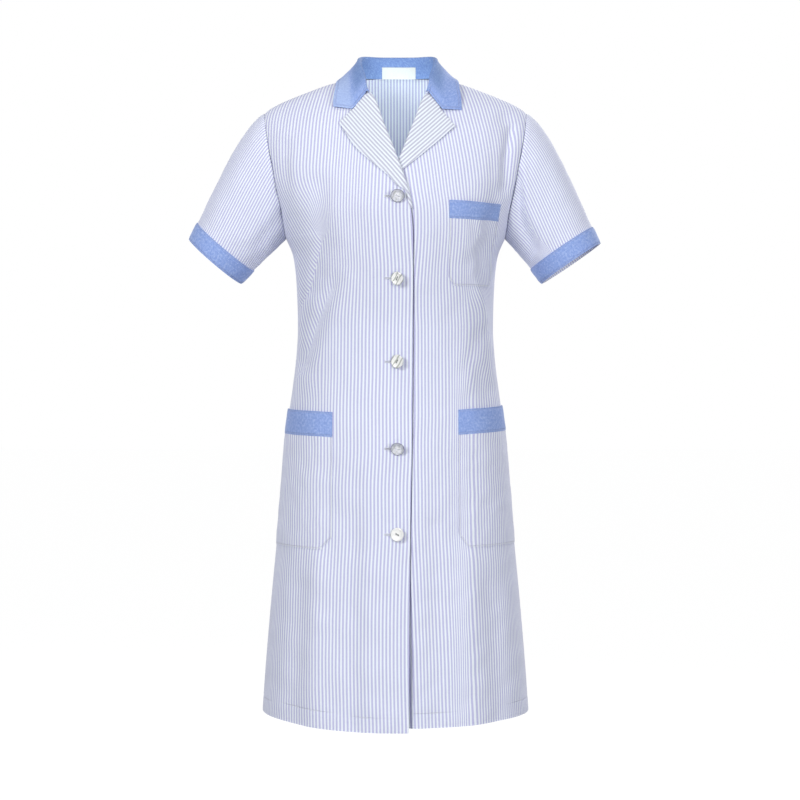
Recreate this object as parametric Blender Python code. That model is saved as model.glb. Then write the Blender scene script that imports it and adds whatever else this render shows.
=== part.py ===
"""Knee-length work coat with short sleeves, worn with no wearer in it.

Every length is in millimetres until a mesh is made, when MM turns it into metres.
X runs to the wearer's left, the front faces -Y, +Z is up. The origin is the middle of the
neck at the height of the shoulders, where the wearer carries the coat.
The body is a stack of rounded sections. Each panel is a grid of points on those sections,
and a wall of cloth is that grid moved in and out along its normals.
"""

import bpy
import numpy as np

MM = 0.001

# Cloth and seams
WALL = 1.5
SEAM = 0.3
LIFT = 0.4  # between a panel and what is sewn on it
BAND_WALL = 2.0

# Fronts
CENTRE = 3.3  # the buttons stand this far to the wearer's left of the middle
LAP_LIFT = WALL + LIFT + 0.1  # how far the upper front stands off the lower one
LAP_FROM = 30.0
LAP_TO = 62.0
LAPEL_LIFT = 3.6  # extra room over the lower front's lapel
HEM_DIP = {"over": 15.0, "under": 9.0, "back": 3.0}
SQUARENESS = 2.2
SHOULDER_ROLL = 75.0

# Armhole: an upright loop seen from the side
ARM_MIDDLE = -135.0
ARM_HALF_HEIGHT = 93.0
ARM_FRONT = 56.0
ARM_BACK = 60.0
ARM_STEPS = 10

# Collar
FOLD = 2.3
COLLAR_SHIFT = 3.0

# Buttons
BUTTON_RADIUS = 10.0
BUTTON_THICK = 3.2
HOLE_RADIUS = 1.1
HOLE_SPACING = 4.2


def table(names, *rows):
    """A table with named columns, as a dictionary of arrays."""
    return {n: np.array([r[k] for r in rows]) for k, n in enumerate(names.split())}


TORSO = table(
    "height half_width front back",
    (-945, 199.0, 149.0, 147.0),
    (-855, 192.5, 144.0, 143.0),
    (-766, 185.0, 139.0, 139.0),
    (-676, 176.5, 133.0, 134.0),
    (-587, 169.0, 127.0, 129.0),
    (-520, 163.0, 121.5, 123.0),
    (-453, 153.5, 113.0, 112.0),
    (-408, 148.0, 109.0, 102.0),
    (-364, 145.3, 108.0, 96.0),
    (-319, 146.2, 113.0, 97.0),
    (-275, 149.0, 121.0, 102.0),
    (-250, 153.5, 125.5, 107.0),
    (-228, 163.0, 128.5, 110.0),
    (-195, 177.0, 131.0, 112.0),
    (-165, 191.0, 127.0, 111.0),
    (-135, 205.0, 117.0, 108.0),
    (-100, 216.0, 102.0, 103.0),
    (-60, 224.0, 85.0, 95.0),
    (-18, 229.0, 67.0, 81.0),
    (25, 231.0, 52.0, 64.0),
)

SHOULDER = table(
    "across height",
    (0, 36.0),
    (30, 33.0),
    (50, 24.0),
    (69, 11.0),
    (103, 0.5),
    (127, -8.5),
    (150, -17.5),
    (172, -27.0),
    (188, -36.0),
    (195, -42.0),
)

ARMHOLE = table(
    "height across",
    (-228, 163.0),
    (-189, 168.5),
    (-164, 174.0),
    (-130, 180.0),
    (-104, 185.5),
    (-74, 190.5),
    (-42, 195.0),
)

NECK_POINT = 69.0
BACK_NECK = 18.0  # height of the back neck seam at the middle

# Edge nearest the middle of each front, as a distance towards that front's own side
EDGE_OVER = table(
    "height across",
    (-945, -19.0),
    (-660, -21.0),
    (-538, -23.5),
    (-292, -25.0),
    (-200, -23.0),
    (-174, -18.0),
    (-124, -3.0),
    (-70, 18.0),
    (-19, 39.0),
    (-8, 50.5),
    (11, 69.0),
)
EDGE_UNDER = table(
    "height across",
    (-945, -19.0),
    (-200, -19.0),
    (-174, -16.0),
    (-124, 3.9),
    (-70, 27.0),
    (-19, 47.0),
    (-8, 54.0),
    (11, 69.0),
)

# Heights of the rows of points below the armpit, as they stand at the side seam
LEVELS = (
    -927, -882, -835, -785, -735, -681, -665, -630, -592, -555,
    -519, -483, -445, -408, -370, -335, -303, -289, -258,
)

# Squares of each front's grid cut the other way, under the cut corners of its pockets
TURNED = {"over": [(5, 6)], "under": [(5, 6), (16, 6)]}

# Distance round the front from the middle to the lines the pockets are sewn on
POCKET_LINE = table(
    "height inner outer",
    (-945, 98.0, 222.0),
    (-681, 94.0, 205.0),
    (-483, 92.0, 190.0),
    (-400, 88.0, 176.0),
    (-303, 79.0, 172.0),
    (-182, 78.0, 172.0),
    (-120, 78.0, 150.0),
    (-20, 84.0, 118.0),
    (11, 88.0, 112.0),
)

# Soft hollows (negative) and swells (positive), from one end to the other
FOLDS_RIGHT = table(
    "x0 z0 x1 z1 width depth",
    (109, -157, 108, -247, 17, -4.0),
    (108, -247, 121, -302, 17, -4.0),
    (83, -292, 108, -345, 15, -3.0),
    (108, -345, 134, -410, 15, -3.0),
    (66, -930, 62, -640, 17, -2.5),
    (118, -930, 110, -700, 18, 3.0),
    (150, -930, 140, -740, 16, -3.0),
)
FOLDS_LEFT = table(
    "x0 z0 x1 z1 width depth",
    (163, -60, 148, -179, 16, -4.5),
    (148, -179, 124, -271, 16, -4.5),
    (129, -372, 114, -411, 16, -3.0),
    (114, -411, 140, -452, 16, -3.0),
    (62, -930, 58, -650, 17, -2.5),
    (110, -930, 104, -700, 18, 3.0),
    (152, -930, 142, -740, 16, -3.0),
)
FOLDS_BACK = table(
    "x0 z0 x1 z1 width depth",
    (78, -300, 72, -445, 20, -5.0),
    (-74, -290, -78, -440, 20, -5.0),
    (132, -190, 112, -300, 18, -4.0),
    (-134, -185, -110, -310, 18, -4.0),
    (150, -930, 136, -600, 22, 4.0),
    (92, -930, 88, -520, 22, -5.0),
    (35, -930, 36, -640, 20, 3.5),
    (-28, -930, -30, -560, 22, -4.5),
    (-88, -930, -84, -660, 20, 4.5),
    (-140, -930, -130, -540, 20, -4.5),
)

# Each sleeve's open end: middle of the ring, the way across it to its upper side, half its
# height and depth, how far it turns to the back, and the slopes (across, height) that the
# sleeve's top and underside have at the ring and where they leave the shoulder and the armpit
SLEEVE = {
    "sleeve_right": {"middle": (-268.7, 6.0, -260.7), "up": (-0.753, 0.658), "tall": 50.0,
                     "deep": 56.0, "turn": 0.08, "top_end": (-0.46, -0.888),
                     "low_end": (-0.695, -0.719), "full": 0.62, "side": -1},
    "sleeve_left": {"middle": (261.7, 2.0, -264.5), "up": (0.8255, 0.5623), "tall": 52.0,
                    "deep": 55.0, "turn": -0.035, "top_end": (0.435, -0.90),
                    "low_end": (0.594, -0.804), "full": 0.55, "side": 1},
}
SLEEVE_TOP_START = (0.90, -0.43)
SLEEVE_LOW_START = (0.68, -0.73)
CUFF = 27.0
SLEEVE_STEPS = 6

# Lapels: (across, height) of the outline, across towards the front's own side
LAPEL = {
    "lapel_right": {"top": (41.5, -20.5), "tip": (81.0, -66.5), "end": (-16.0, -167.0),
                    "side": -1},
    "lapel_left": {"top": (48.2, -21.3), "tip": (86.0, -71.3), "end": (-9.0, -152.0),
                   "side": 1},
}

# Half the collar, from the middle of the back round to the notch. n is the neck seam, r the
# top of the stand, m halfway down the fall, o its outer edge.
COLLAR = table(
    "nx ny nz rx ry rz mx my mz ox oy oz",
    (0.0, 42.0, 18.9, 0.0, 44.0, 47.0, 0.0, 58.0, 27.0, 0.0, 70.5, 0.0),
    (26.0, 38.0, 18.2, 27.0, 41.0, 46.8, 29.0, 55.5, 27.0, 33.0, 68.5, 0.5),
    (47.0, 28.5, 17.0, 49.0, 28.0, 45.5, 57.0, 38.0, 27.0, 66.0, 49.0, 5.5),
    (62.0, 13.5, 14.0, 55.0, 7.0, 38.0, 68.0, 12.0, 27.0, 84.0, 18.0, 9.0),
    (66.0, -9.0, 11.0, 54.0, -15.0, 26.0, 71.0, -16.0, 15.0, 90.0, -18.5, 4.5),
    (60.0, -34.5, 3.0, 49.0, -39.0, 8.0, 68.5, -48.0, -6.0, 91.5, -46.0, -9.0),
    (50.5, -51.5, -8.0, 46.5, -55.0, -6.5, 66.5, -68.5, -26.0, 93.5, -60.5, -25.0),
    (42.5, -61.5, -17.2, 42.5, -64.5, -16.8, 64.5, -79.0, -43.5, 93.8, -69.0, -38.0),
)

BUTTON = table(
    "height tilt turn",
    (-177.0, 1.5, 35.0),
    (-292.5, 2.0, 120.0),
    (-413.0, -1.0, 60.0),
    (-538.0, 1.5, 20.0),
    (-660.5, 1.0, 95.0),
)

LABEL_HALF = 25.5
LABEL_MIDDLE = 5.0
LABEL_LOW = 0.03
LABEL_HIGH = 0.60

COLOUR = {
    "stripe": (0.74, 0.77, 0.93, 1.0),
    "plain": (0.24, 0.38, 0.77, 1.0),
    "pearl": (0.82, 0.83, 0.84, 1.0),
    "white": (0.88, 0.89, 0.88, 1.0),
}


def clear_scene():
    for ob in list(bpy.data.objects):
        bpy.data.objects.remove(ob, do_unlink=True)


def smooth(x, xs, ys):
    """Value at x of a smooth curve through (xs, ys), with no overshoot and flat past its ends."""
    x = np.asarray(x, float)
    step = np.diff(xs)
    slope = np.diff(ys) / step
    lean = np.concatenate(([slope[0]], (slope[1:] + slope[:-1]) / 2, [slope[-1]]))
    turning = np.concatenate(([False], slope[1:] * slope[:-1] <= 0, [False]))
    lean[turning] = 0
    k = np.clip(np.searchsorted(xs, x) - 1, 0, len(xs) - 2)
    t = np.clip((x - xs[k]) / step[k], 0, 1)
    rest = 1 - t
    ends = ys[k] * (1 + 2 * t) * rest**2 + ys[k + 1] * t * t * (3 - 2 * t)
    bends = (lean[k] * t * rest**2 - lean[k + 1] * t * t * rest) * step[k]
    return ends + bends


def ease(x, low, high):
    t = np.clip((x - low) / (high - low), 0, 1)
    return t * t * (3 - 2 * t)


def unit(v):
    return v / np.maximum(np.linalg.norm(v, axis=-1, keepdims=True), 1e-9)


def body_y(x, z, face):
    """y of the outside of the body; face is -1 for the front and 1 for the back."""
    wide = smooth(z, TORSO["height"], TORSO["half_width"])
    deep = smooth(z, TORSO["height"], TORSO["front" if face < 0 else "back"])
    top = smooth(np.abs(x), SHOULDER["across"], SHOULDER["height"])
    drop = np.clip((top - z) / SHOULDER_ROLL, 0, 1)
    part = np.clip(np.abs(x) / wide, 0, 1)
    rise = np.sqrt(1 - (1 - drop) ** 2)
    return face * deep * rise * (1 - part**SQUARENESS) ** (1 / SQUARENESS)


def armhole(turn, face):
    """A point of the armhole; turn is 0 at the armpit and 1 at the shoulder."""
    angle = np.pi * (1 - turn)
    z = ARM_MIDDLE + ARM_HALF_HEIGHT * np.cos(angle)
    x = smooth(z, ARMHOLE["height"], ARMHOLE["across"])
    deep = ARM_FRONT if face < 0 else ARM_BACK
    return np.array([float(x), face * deep * np.sin(angle), z])


def row_below(level, face, dip):
    """A dense line round half the body at one level, from past the middle to the side seam."""
    r = np.linspace(-0.35, 1, 541)
    angle = r * np.pi / 2
    low = ease(-level, 560, 927)
    z = level - dip * low * np.cos(angle) ** 2
    wide = smooth(z, TORSO["height"], TORSO["half_width"])
    x = wide * np.sign(r) * np.abs(np.sin(angle)) ** (2 / SQUARENESS)
    return np.stack([x, body_y(x, z, face), z], 1)


def row_above(turn, face):
    """The same from the middle to the armhole; turn is 0 at the armpit and 1 at the shoulder."""
    r = np.linspace(-0.35, 1, 541)
    end = armhole(turn, face)
    curved = np.sign(r) * np.abs(np.sin(r * np.pi / 2)) ** (2 / SQUARENESS)
    x = end[0] * (curved * (1 - turn) + r * turn)
    top = smooth(np.abs(x), SHOULDER["across"], SHOULDER["height"])
    if face > 0:
        neck = BACK_NECK + (SHOULDER["height"][3] - BACK_NECK) * (x / NECK_POINT) ** 2
        top = np.where(np.abs(x) < NECK_POINT, neck, top)
    z = end[2] + (top - SHOULDER["height"][-1]) * turn**2
    y = body_y(x, z, face)
    gap = end[1] - body_y(end[0], end[2], face)
    return np.stack([x, y + gap * np.clip(r, 0, 1) ** 4, z], 1)


def arc_of(line):
    """Distance along a row, counted from the middle line."""
    run = np.concatenate(([0], np.cumsum(np.linalg.norm(np.diff(line, axis=0), axis=1))))
    return run - np.interp(0, line[:, 0], run)


def at_arc(line, arc, where):
    return np.stack([np.interp(where, arc, line[:, k]) for k in range(3)], 1)


def columns(start, stops, end, counts):
    """Places along a row: each stretch between two stops is shared out evenly."""
    marks = [start, *stops, end]
    parts = [
        np.linspace(a, b, n, endpoint=False) for a, b, n in zip(marks, marks[1:], counts)
    ]
    return np.concatenate([*parts, [end]])


def rows_of(face, dip):
    below = [row_below(z, face, dip) for z in LEVELS]
    turns = np.arange(ARM_STEPS + 1) / ARM_STEPS
    return below + [row_above(t, face) for t in turns]


def fold_depth(x, z, folds):
    """How far the cloth is pushed in or out at (x, z)."""
    out = np.zeros_like(x)
    low = np.zeros_like(x)
    for x0, z0, x1, z1, width, depth in zip(*folds.values()):
        run = np.array([x1 - x0, z1 - z0])
        t = ((x - x0) * run[0] + (z - z0) * run[1]) / (run @ run)
        t = np.clip(t, 0, 1)
        far = np.hypot(x - x0 - t * run[0], z - z0 - t * run[1])
        bump = depth * np.exp(-((far / width) ** 2))
        out = np.maximum(out, bump)
        low = np.minimum(low, bump)
    return out + low


def normals_of(points, loop=False):
    """Unit normals of a grid of points; loop says that each row closes on itself."""
    down = np.gradient(points, axis=0)
    if loop:
        along = np.roll(points, -1, 1) - np.roll(points, 1, 1)
    else:
        along = np.gradient(points, axis=1)
    return unit(np.cross(along, down))


def outward(normals, points, centre):
    """Turns a whole field of normals away from a line of centres."""
    if np.sum(normals * (points - centre)) < 0:
        return -normals
    return normals


def front_grid(kind):
    """Points and normals of one front, in its own mirrored x, with the stops of its pockets."""
    edge = EDGE_OVER if kind == "over" else EDGE_UNDER
    grid = []
    for line in rows_of(-1, HEM_DIP[kind]):
        arc = arc_of(line)
        inner = smooth(line[:, 2], edge["height"], edge["across"])
        past = line[:, 0] - inner
        start = float(np.interp(0, past, arc))
        z = float(np.interp(start, arc, line[:, 2]))
        stops = [float(smooth(z, POCKET_LINE["height"], POCKET_LINE[n])) for n in ("inner", "outer")]
        stops[0] = max(stops[0], start + 10)
        stops[1] = min(stops[1], arc[-1] - 8)
        grid.append(at_arc(line, arc, columns(start, stops, arc[-1], (6, 5, 2))))
    return np.array(grid)


def front_panel(kind):
    points = front_grid(kind)
    normals = outward(normals_of(points), points, points * [0, 0, 1])
    seam_ready(points, normals, -1)
    x, z = points[..., 0], points[..., 2]
    push = fold_depth(x, z, FOLDS_RIGHT if kind == "over" else FOLDS_LEFT)
    push = push * ease(points[..., 1] * -1, 6, 40)
    if kind == "over":
        near = 1 - ease(x, LAP_FROM, LAP_TO)
        crossing = np.exp(-(((z + 134) / 32) ** 2)) * (1 - ease(x, 5, 40))
        push = push + near * LAP_LIFT * ease(-z, 60, 110) + crossing * LAPEL_LIFT
    else:
        push = push - 3.0 * (1 - ease(x, 20, 90)) * ease(-z, 600, 930)
    return points + normals * push[..., None], normals


def seam_ready(points, normals, face):
    """Sets the side and shoulder edges half a seam gap from y = 0, square to it."""
    arm = len(LEVELS)
    points[: arm + 1, -1, 1] += face * SEAM / 2
    points[-1, :, 1] += face * SEAM / 2
    normals[: arm + 1, -1, 1] = 0
    if face < 0:
        normals[-1, :, 1] = 0
    else:
        across = np.abs(points[-1, :, 0]) >= NECK_POINT - 1
        normals[-1, across, 1] = 0
    normals[:] = unit(normals)


def back_panel():
    """The whole back, from the wearer's right side seam to the left one."""
    half = []
    for k, line in enumerate(rows_of(1, HEM_DIP["back"])):
        arc = arc_of(line)
        turn = max(0, k - len(LEVELS)) / ARM_STEPS
        neck = float(np.interp(NECK_POINT, line[:, 0], arc))
        stop = neck * turn + arc[-1] * 0.5 * (1 - turn)
        half.append(at_arc(line, arc, columns(0, [stop], arc[-1], (6, 6))))
    half = np.array(half)
    mirrored = half[:, :0:-1] * [-1, 1, 1]
    points = np.concatenate([mirrored, half], 1)
    normals = outward(normals_of(points), points, points * [0, 0, 1])
    arm = len(LEVELS)
    seam_ready(points, normals, 1)
    points[: arm + 1, 0, 1] += SEAM / 2
    normals[: arm + 1, 0, 1] = 0
    normals[:] = unit(normals)
    push = fold_depth(points[..., 0], points[..., 2], FOLDS_BACK)
    push = push * ease(points[..., 1], 6, 40)
    return points + normals * push[..., None], normals


def quads(rows, cols, loop=False, turned=()):
    """Triangles of a grid; the turned squares are cut along their other diagonal."""
    found = []
    last = cols if loop else cols - 1
    for i in range(rows - 1):
        for j in range(last):
            a, b = i * cols + j, i * cols + (j + 1) % cols
            c, d = b + cols, a + cols
            if (i, j) in turned:
                found += [(a, b, d), (b, c, d)]
            else:
                found += [(a, b, c), (a, c, d)]
    return found


def wall(name, points, normals, inner, outer, faces, colour):
    """A closed solid: the faces moved to two offsets along the normals, and a rim between."""
    flat = points.reshape(-1, 3)
    lift = normals.reshape(-1, 3)
    used = sorted({k for f in faces for k in f})
    number = {k: n for n, k in enumerate(used)}
    flat = flat[used]
    lift = lift[used]
    faces = [tuple(number[k] for k in f) for f in faces]
    count = len(used)
    verts = np.concatenate([flat + lift * inner, flat + lift * outer])
    edges = {(f[k], f[(k + 1) % 3]) for f in faces for k in range(3)}
    rim = []
    for a, b in sorted(edges):
        if (b, a) not in edges:
            rim += [(a + count, b, b + count), (a + count, a, b)]
    solid = [tuple(k + count for k in f) for f in faces]
    solid += [(c, b, a) for a, b, c in faces]
    solid += rim
    return make_object(name, verts, solid, colour)


def make_object(name, verts, faces, colour):
    verts = np.asarray(verts, float) * MM
    tri = verts[np.array(faces)]
    volume = np.einsum("ij,ij->i", tri[:, 0], np.cross(tri[:, 1], tri[:, 2])).sum()
    if volume < 0:
        faces = [f[::-1] for f in faces]
    mesh = bpy.data.meshes.new(name)
    mesh.from_pydata(verts.tolist(), [], faces)
    mesh.update()
    ob = bpy.data.objects.new(name, mesh)
    bpy.context.collection.objects.link(ob)
    ob.data.materials.append(material(name, colour))
    return ob


def material(name, colour):
    mat = bpy.data.materials.new(name)
    mat.use_nodes = True
    shader = mat.node_tree.nodes["Principled BSDF"]
    shader.inputs["Base Color"].default_value = COLOUR[colour]
    shader.inputs["Roughness"].default_value = 0.3 if colour == "pearl" else 0.85
    return mat


def armhole_frame(side, front, back):
    """The armhole loop from the shoulder down the front and up the back, with the body's
    normals there and the direction in the cloth that leads out of the body."""
    arm = len(LEVELS)
    turns = np.arange(ARM_STEPS + 1) / ARM_STEPS
    down = [armhole(t, -1) for t in turns[::-1]]
    up = [armhole(t, 1) for t in turns[1:-1]]
    loop = np.array(down + up)
    f, g = front[1][arm:, -1], back[1][arm:, -1]
    lean = np.concatenate([f[::-1], g[1:-1]])
    lean[0] = unit(f[-1] + g[-1])
    lean[ARM_STEPS] = unit(f[0] + g[0])
    run = unit(np.roll(loop, -1, 0) - np.roll(loop, 1, 0))
    out = unit(np.cross(run, lean))
    out[ARM_STEPS] = (0, 0, 1)
    if out[0][0] < 0:
        out = -out
        out[ARM_STEPS] = (0, 0, 1)
    flip = np.array([side, 1, 1])
    return loop * flip, lean * flip, out * flip


def sleeve_end(spec, loop_count):
    """The ring of the sleeve's open end."""
    k = np.arange(loop_count)
    angle = 2 * np.pi * k / loop_count
    up = np.array([spec["up"][0], 0, spec["up"][1]])
    side = spec["side"]
    heading = np.array([side * spec["up"][1], spec["turn"], -abs(spec["up"][0])])
    heading = unit(heading)
    fore = unit(np.cross(heading, up) * side)
    fore = fore if fore[1] < 0 else -fore
    ring = np.array(spec["middle"]) + np.outer(np.cos(angle) * spec["tall"], up)
    return ring + np.outer(np.sin(angle) * spec["deep"], fore)


def sleeve_lines(spec, loop, lean, out):
    """One dense line from the armhole to the open end for each point of the armhole."""
    ring = sleeve_end(spec, len(loop))
    side = spec["side"]
    share = (1 - np.cos(2 * np.pi * np.arange(len(loop)) / len(loop)))[:, None] / 2
    top = np.array([SLEEVE_TOP_START[0] * side, 0, SLEEVE_TOP_START[1]])
    low = np.array([SLEEVE_LOW_START[0] * side, 0, SLEEVE_LOW_START[1]])
    first = unit(top * (1 - share) + low * share)
    top = np.array([spec["top_end"][0], spec["turn"], spec["top_end"][1]])
    low = np.array([spec["low_end"][0], spec["turn"], spec["low_end"][1]])
    heading = unit(top * (1 - share) + low * share)
    reach = np.linalg.norm(ring - loop, axis=1)[:, None]
    t = np.linspace(0, 1, 161)[:, None, None]
    start = loop + out * (2 * SEAM)
    path = (
        start * (2 * t**3 - 3 * t**2 + 1)
        + first * reach * spec["full"] * (t**3 - 2 * t**2 + t)
        + ring * (3 * t**2 - 2 * t**3)
        + heading * reach * 1.0 * (t**3 - t**2)
    )
    lift = outward(normals_of(path[::8], True), path[::8], path[::8].mean(1, keepdims=True))
    room = WALL * (1 - np.sum(lift[0] * lean, 1)) + SEAM * (1 - np.sum(lift[0] * lean, 1)) / 2
    fade = np.exp(-np.linalg.norm(path - start, axis=2) / 12)
    return path + (lean * room[:, None]) * fade[..., None]


def sleeve_grid(path, places):
    """Points at shares of each line; a place above 1 is counted in mm back from the end."""
    grid = []
    for k in range(path.shape[1]):
        line = path[:, k]
        run = np.concatenate(([0], np.cumsum(np.linalg.norm(np.diff(line, axis=0), axis=1))))
        band = run[-1] - CUFF
        where = [p * band if p <= 1 else band + (p - 1) * CUFF for p in places]
        grid.append(at_arc(line, run, where))
    return np.array(grid).transpose(1, 0, 2)


def build_sleeves(fronts, back):
    for name, spec in SLEEVE.items():
        side = spec["side"]
        loop, lean, out = armhole_frame(side, fronts["over" if side < 0 else "under"], back)
        path = sleeve_lines(spec, loop, lean, out)
        places = [*(np.arange(SLEEVE_STEPS) / SLEEVE_STEPS) ** 1.15, 1, 2]
        points = sleeve_grid(path, places)
        normals = normals_of(points, True)
        normals = outward(normals, points, points.mean(1, keepdims=True))
        rows, cols = points.shape[:2]
        wall(name, points, normals, -WALL, 0, quads(rows, cols, True), "stripe")
        cuff = name.replace("sleeve", "cuff")
        wall(cuff, points[-2:], normals[-2:], LIFT, LIFT + BAND_WALL, quads(2, cols, True), "plain")


def build_pockets(fronts):
    """Patches and bands are squares of the front's own grid, moved out."""
    arm = len(LEVELS)
    level = {z: k for k, z in enumerate(LEVELS)}
    for name, kind, bottom, low, mouth, first, last in (
        ("pocket_right", "over", level[-681], level[-519], level[-483], 6, 13),
        ("pocket_left", "under", level[-681], level[-519], level[-483], 6, 13),
        ("breast_pocket", "under", level[-303], arm + 2, arm + 3, 6, 11),
    ):
        points, normals = fronts[kind]
        cols = slice(first, last + 1)
        side = -1 if kind == "over" else 1
        flip = np.array([side, 1, 1])
        patch = points[bottom : low + 1, cols].copy()
        lift = normals[bottom : low + 1, cols].copy()
        if last == 13:
            patch[:, -1] += (patch[:, -2] - patch[:, -1]) * 0.04
        patch[-1] += (patch[-2] - patch[-1]) * (SEAM / 2) / np.linalg.norm(
            patch[-2] - patch[-1], axis=1, keepdims=True
        )
        n = patch.shape[1]
        cut = {0} if last == 13 else {0, n - 1}
        faces = [f for f in quads(patch.shape[0], n, turned=[(0, 0)]) if not cut_off(f, cut, n)]
        wall(name, patch * flip, lift * flip, LIFT, LIFT + WALL, faces, "stripe")
        band = points[low : mouth + 1, cols].copy()
        lift = normals[low : mouth + 1, cols]
        if last == 13:
            band[:, -1] += (band[:, -2] - band[:, -1]) * 0.04
        band[0] += (band[1] - band[0]) * (SEAM / 2) / np.linalg.norm(
            band[1] - band[0], axis=1, keepdims=True
        )
        faces = quads(band.shape[0], n)
        wall(name + "_band", band * flip, lift * flip, LIFT, LIFT + BAND_WALL, faces, "plain")


def cut_off(face, corners, n):
    """True for a triangle that is one of a patch's bottom corners."""
    return any(k in face and not (k == 0 and face == (1, n + 1, n)) for k in corners)


def over_front(x, z, side):
    """The outside of a front at (across, height), with its folds and lap, and its normal."""
    kind = "over" if side < 0 else "under"
    step = 1.0

    def place(u, v):
        y = body_y(u, v, -1)
        return np.stack([u, y, v], -1)

    p = place(x, z)
    across = place(x + step, z) - place(x - step, z)
    rise = place(x, z + step) - place(x, z - step)
    n = unit(np.cross(across, rise))
    n = np.where(n[..., 1:2] > 0, -n, n)
    push = fold_depth(x, z, FOLDS_RIGHT if kind == "over" else FOLDS_LEFT)
    if kind == "over":
        near = 1 - ease(x, LAP_FROM, LAP_TO)
        crossing = np.exp(-(((z + 134) / 32) ** 2)) * (1 - ease(x, 5, 40))
        push = push + near * LAP_LIFT * ease(-z, 60, 110) + crossing * LAPEL_LIFT
    return p + n * push[..., None], n


def build_lapels():
    for name, spec in LAPEL.items():
        side = spec["side"]
        edge = EDGE_OVER if side < 0 else EDGE_UNDER
        top, tip, end = (np.array(spec[k]) for k in ("top", "tip", "end"))
        t = np.linspace(0, 1, 10)
        height = top[1] + (end[1] - top[1]) * t
        roll = np.stack([smooth(height, edge["height"], edge["across"]), height], 1)
        outer = tip + (end + [6, 4] - tip) * t[:, None]
        outer[:, 0] -= 2.5 * np.sin(np.pi * t)
        s = np.array([0.0, 0.12, 0.35, 0.62, 1.0])
        flat = roll[:, None] * (1 - s)[None, :, None] + outer[:, None] * s[None, :, None]
        points, normals = over_front(flat[..., 0], flat[..., 1], side)
        spring = (1.9 - 0.6 * t)[:, None] + 1.5 * np.exp(-((s * 4) ** 2)) * (1 - t)[:, None]
        sheet = points + normals * spring[..., None]
        rim, rim_n = over_front(roll[:, 0], roll[:, 1], side)
        inward = unit(np.gradient(roll, axis=0))
        inward = np.stack([inward[:, 1], 0 * t, -inward[:, 0]], 1)
        inward = unit(inward - rim_n * np.sum(inward * rim_n, 1, keepdims=True))
        curl = []
        for turn in (95, 62, 30):
            a = np.radians(turn)
            centre = rim + rim_n * (spring[:, :1] - 2.4)
            curl.append(centre + 2.4 * (inward * np.sin(a) + rim_n * np.cos(a)))
        sheet = np.concatenate([np.stack(curl, 1), sheet], 1)
        normals = normals_of(sheet)
        if np.sum(normals[:, -1] * rim_n) < 0:
            normals = -normals
        flip = np.array([side, 1, 1])
        rows, cols = sheet.shape[:2]
        half = WALL / 2
        wall(name, sheet * flip, normals * flip, -half, half, quads(rows, cols), "stripe")


def collar_sheet(shares, steps):
    """Points of half the collar: shares of the way round, then from neck seam to outer edge."""
    base = np.linspace(0, 1, len(COLLAR["nx"]))
    got = {n: smooth(shares, base, COLLAR[n]) for n in COLLAR}
    neck, roll, mid, edge = (
        np.stack([got[k + "x"], got[k + "y"], got[k + "z"]], 1) for k in "nrmo"
    )
    run = unit(np.gradient(roll, axis=0))
    rise = roll - neck
    rise = unit(rise - run * np.sum(rise * run, 1, keepdims=True))
    out = unit(np.cross(rise, run))
    out = np.where(np.sum(out * (mid - roll), 1, keepdims=True) < 0, -out, out)
    line = [neck, neck + (roll - neck) * 0.5, roll]
    for turn in (45, 90, 135, 180):
        a = np.radians(turn)
        line.append(roll + FOLD * (out * (1 - np.cos(a)) + rise * np.sin(a)))
    after = line[-1]
    for share in steps:
        near = 2 * share
        if near <= 1:
            line.append(after + (mid - after) * near)
        else:
            line.append(mid + (edge - mid) * (near - 1))
    return np.stack(line, 1)


def build_collar():
    half = collar_sheet(np.linspace(0, 1, 15), (0.25, 0.5, 0.75, 1.0))
    whole = np.concatenate([half[:0:-1] * [-1, 1, 1], half])
    whole = whole + [COLLAR_SHIFT, 0, 0]
    normals = normals_of(whole)
    if normals[14, 1, 1] > 0:
        normals = -normals
    rows, cols = whole.shape[:2]
    wall("collar", whole, normals, -WALL / 2, WALL / 2, quads(rows, cols), "plain")
    ends = LABEL_MIDDLE - LABEL_HALF, LABEL_MIDDLE + LABEL_HALF
    between = [x for x in whole[:, 0, 0] if ends[0] + 3 < x < ends[1] - 3]
    across = np.array([ends[0], *between, ends[1]])
    label = []
    for share in (LABEL_LOW, LABEL_HIGH):
        line = whole[:, 0] + (whole[:, 2] - whole[:, 0]) * share
        label.append([[np.interp(x, line[:, 0], line[:, k]) for k in range(3)] for x in across])
    label = np.array(label).transpose(1, 0, 2)
    lift = normals_of(label)
    if lift[0, 0, 1] > 0:
        lift = -lift
    near = WALL / 2 + LIFT
    wall("neck_label", label, lift, near, near + 1.0, quads(len(label), 2), "white")


def lathe(name, profile, around):
    """A solid of revolution about z through (radius, z) points, shut at both ends."""
    verts = [(0.0, 0.0, profile[0][1])]
    faces = []
    for radius, height in profile:
        for k in range(around):
            a = 2 * np.pi * k / around
            verts.append((radius * np.cos(a), radius * np.sin(a), height))
    verts.append((0.0, 0.0, profile[-1][1]))
    for k in range(around):
        nxt = (k + 1) % around
        faces.append((0, 1 + nxt, 1 + k))
        for ring in range(len(profile) - 1):
            a, b = 1 + ring * around + k, 1 + ring * around + nxt
            faces.append((a, b, b + around))
            faces.append((a, b + around, a + around))
        top = 1 + (len(profile) - 1) * around
        faces.append((top + k, top + nxt, len(verts) - 1))
    return make_object(name, verts, faces, "pearl")


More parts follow.
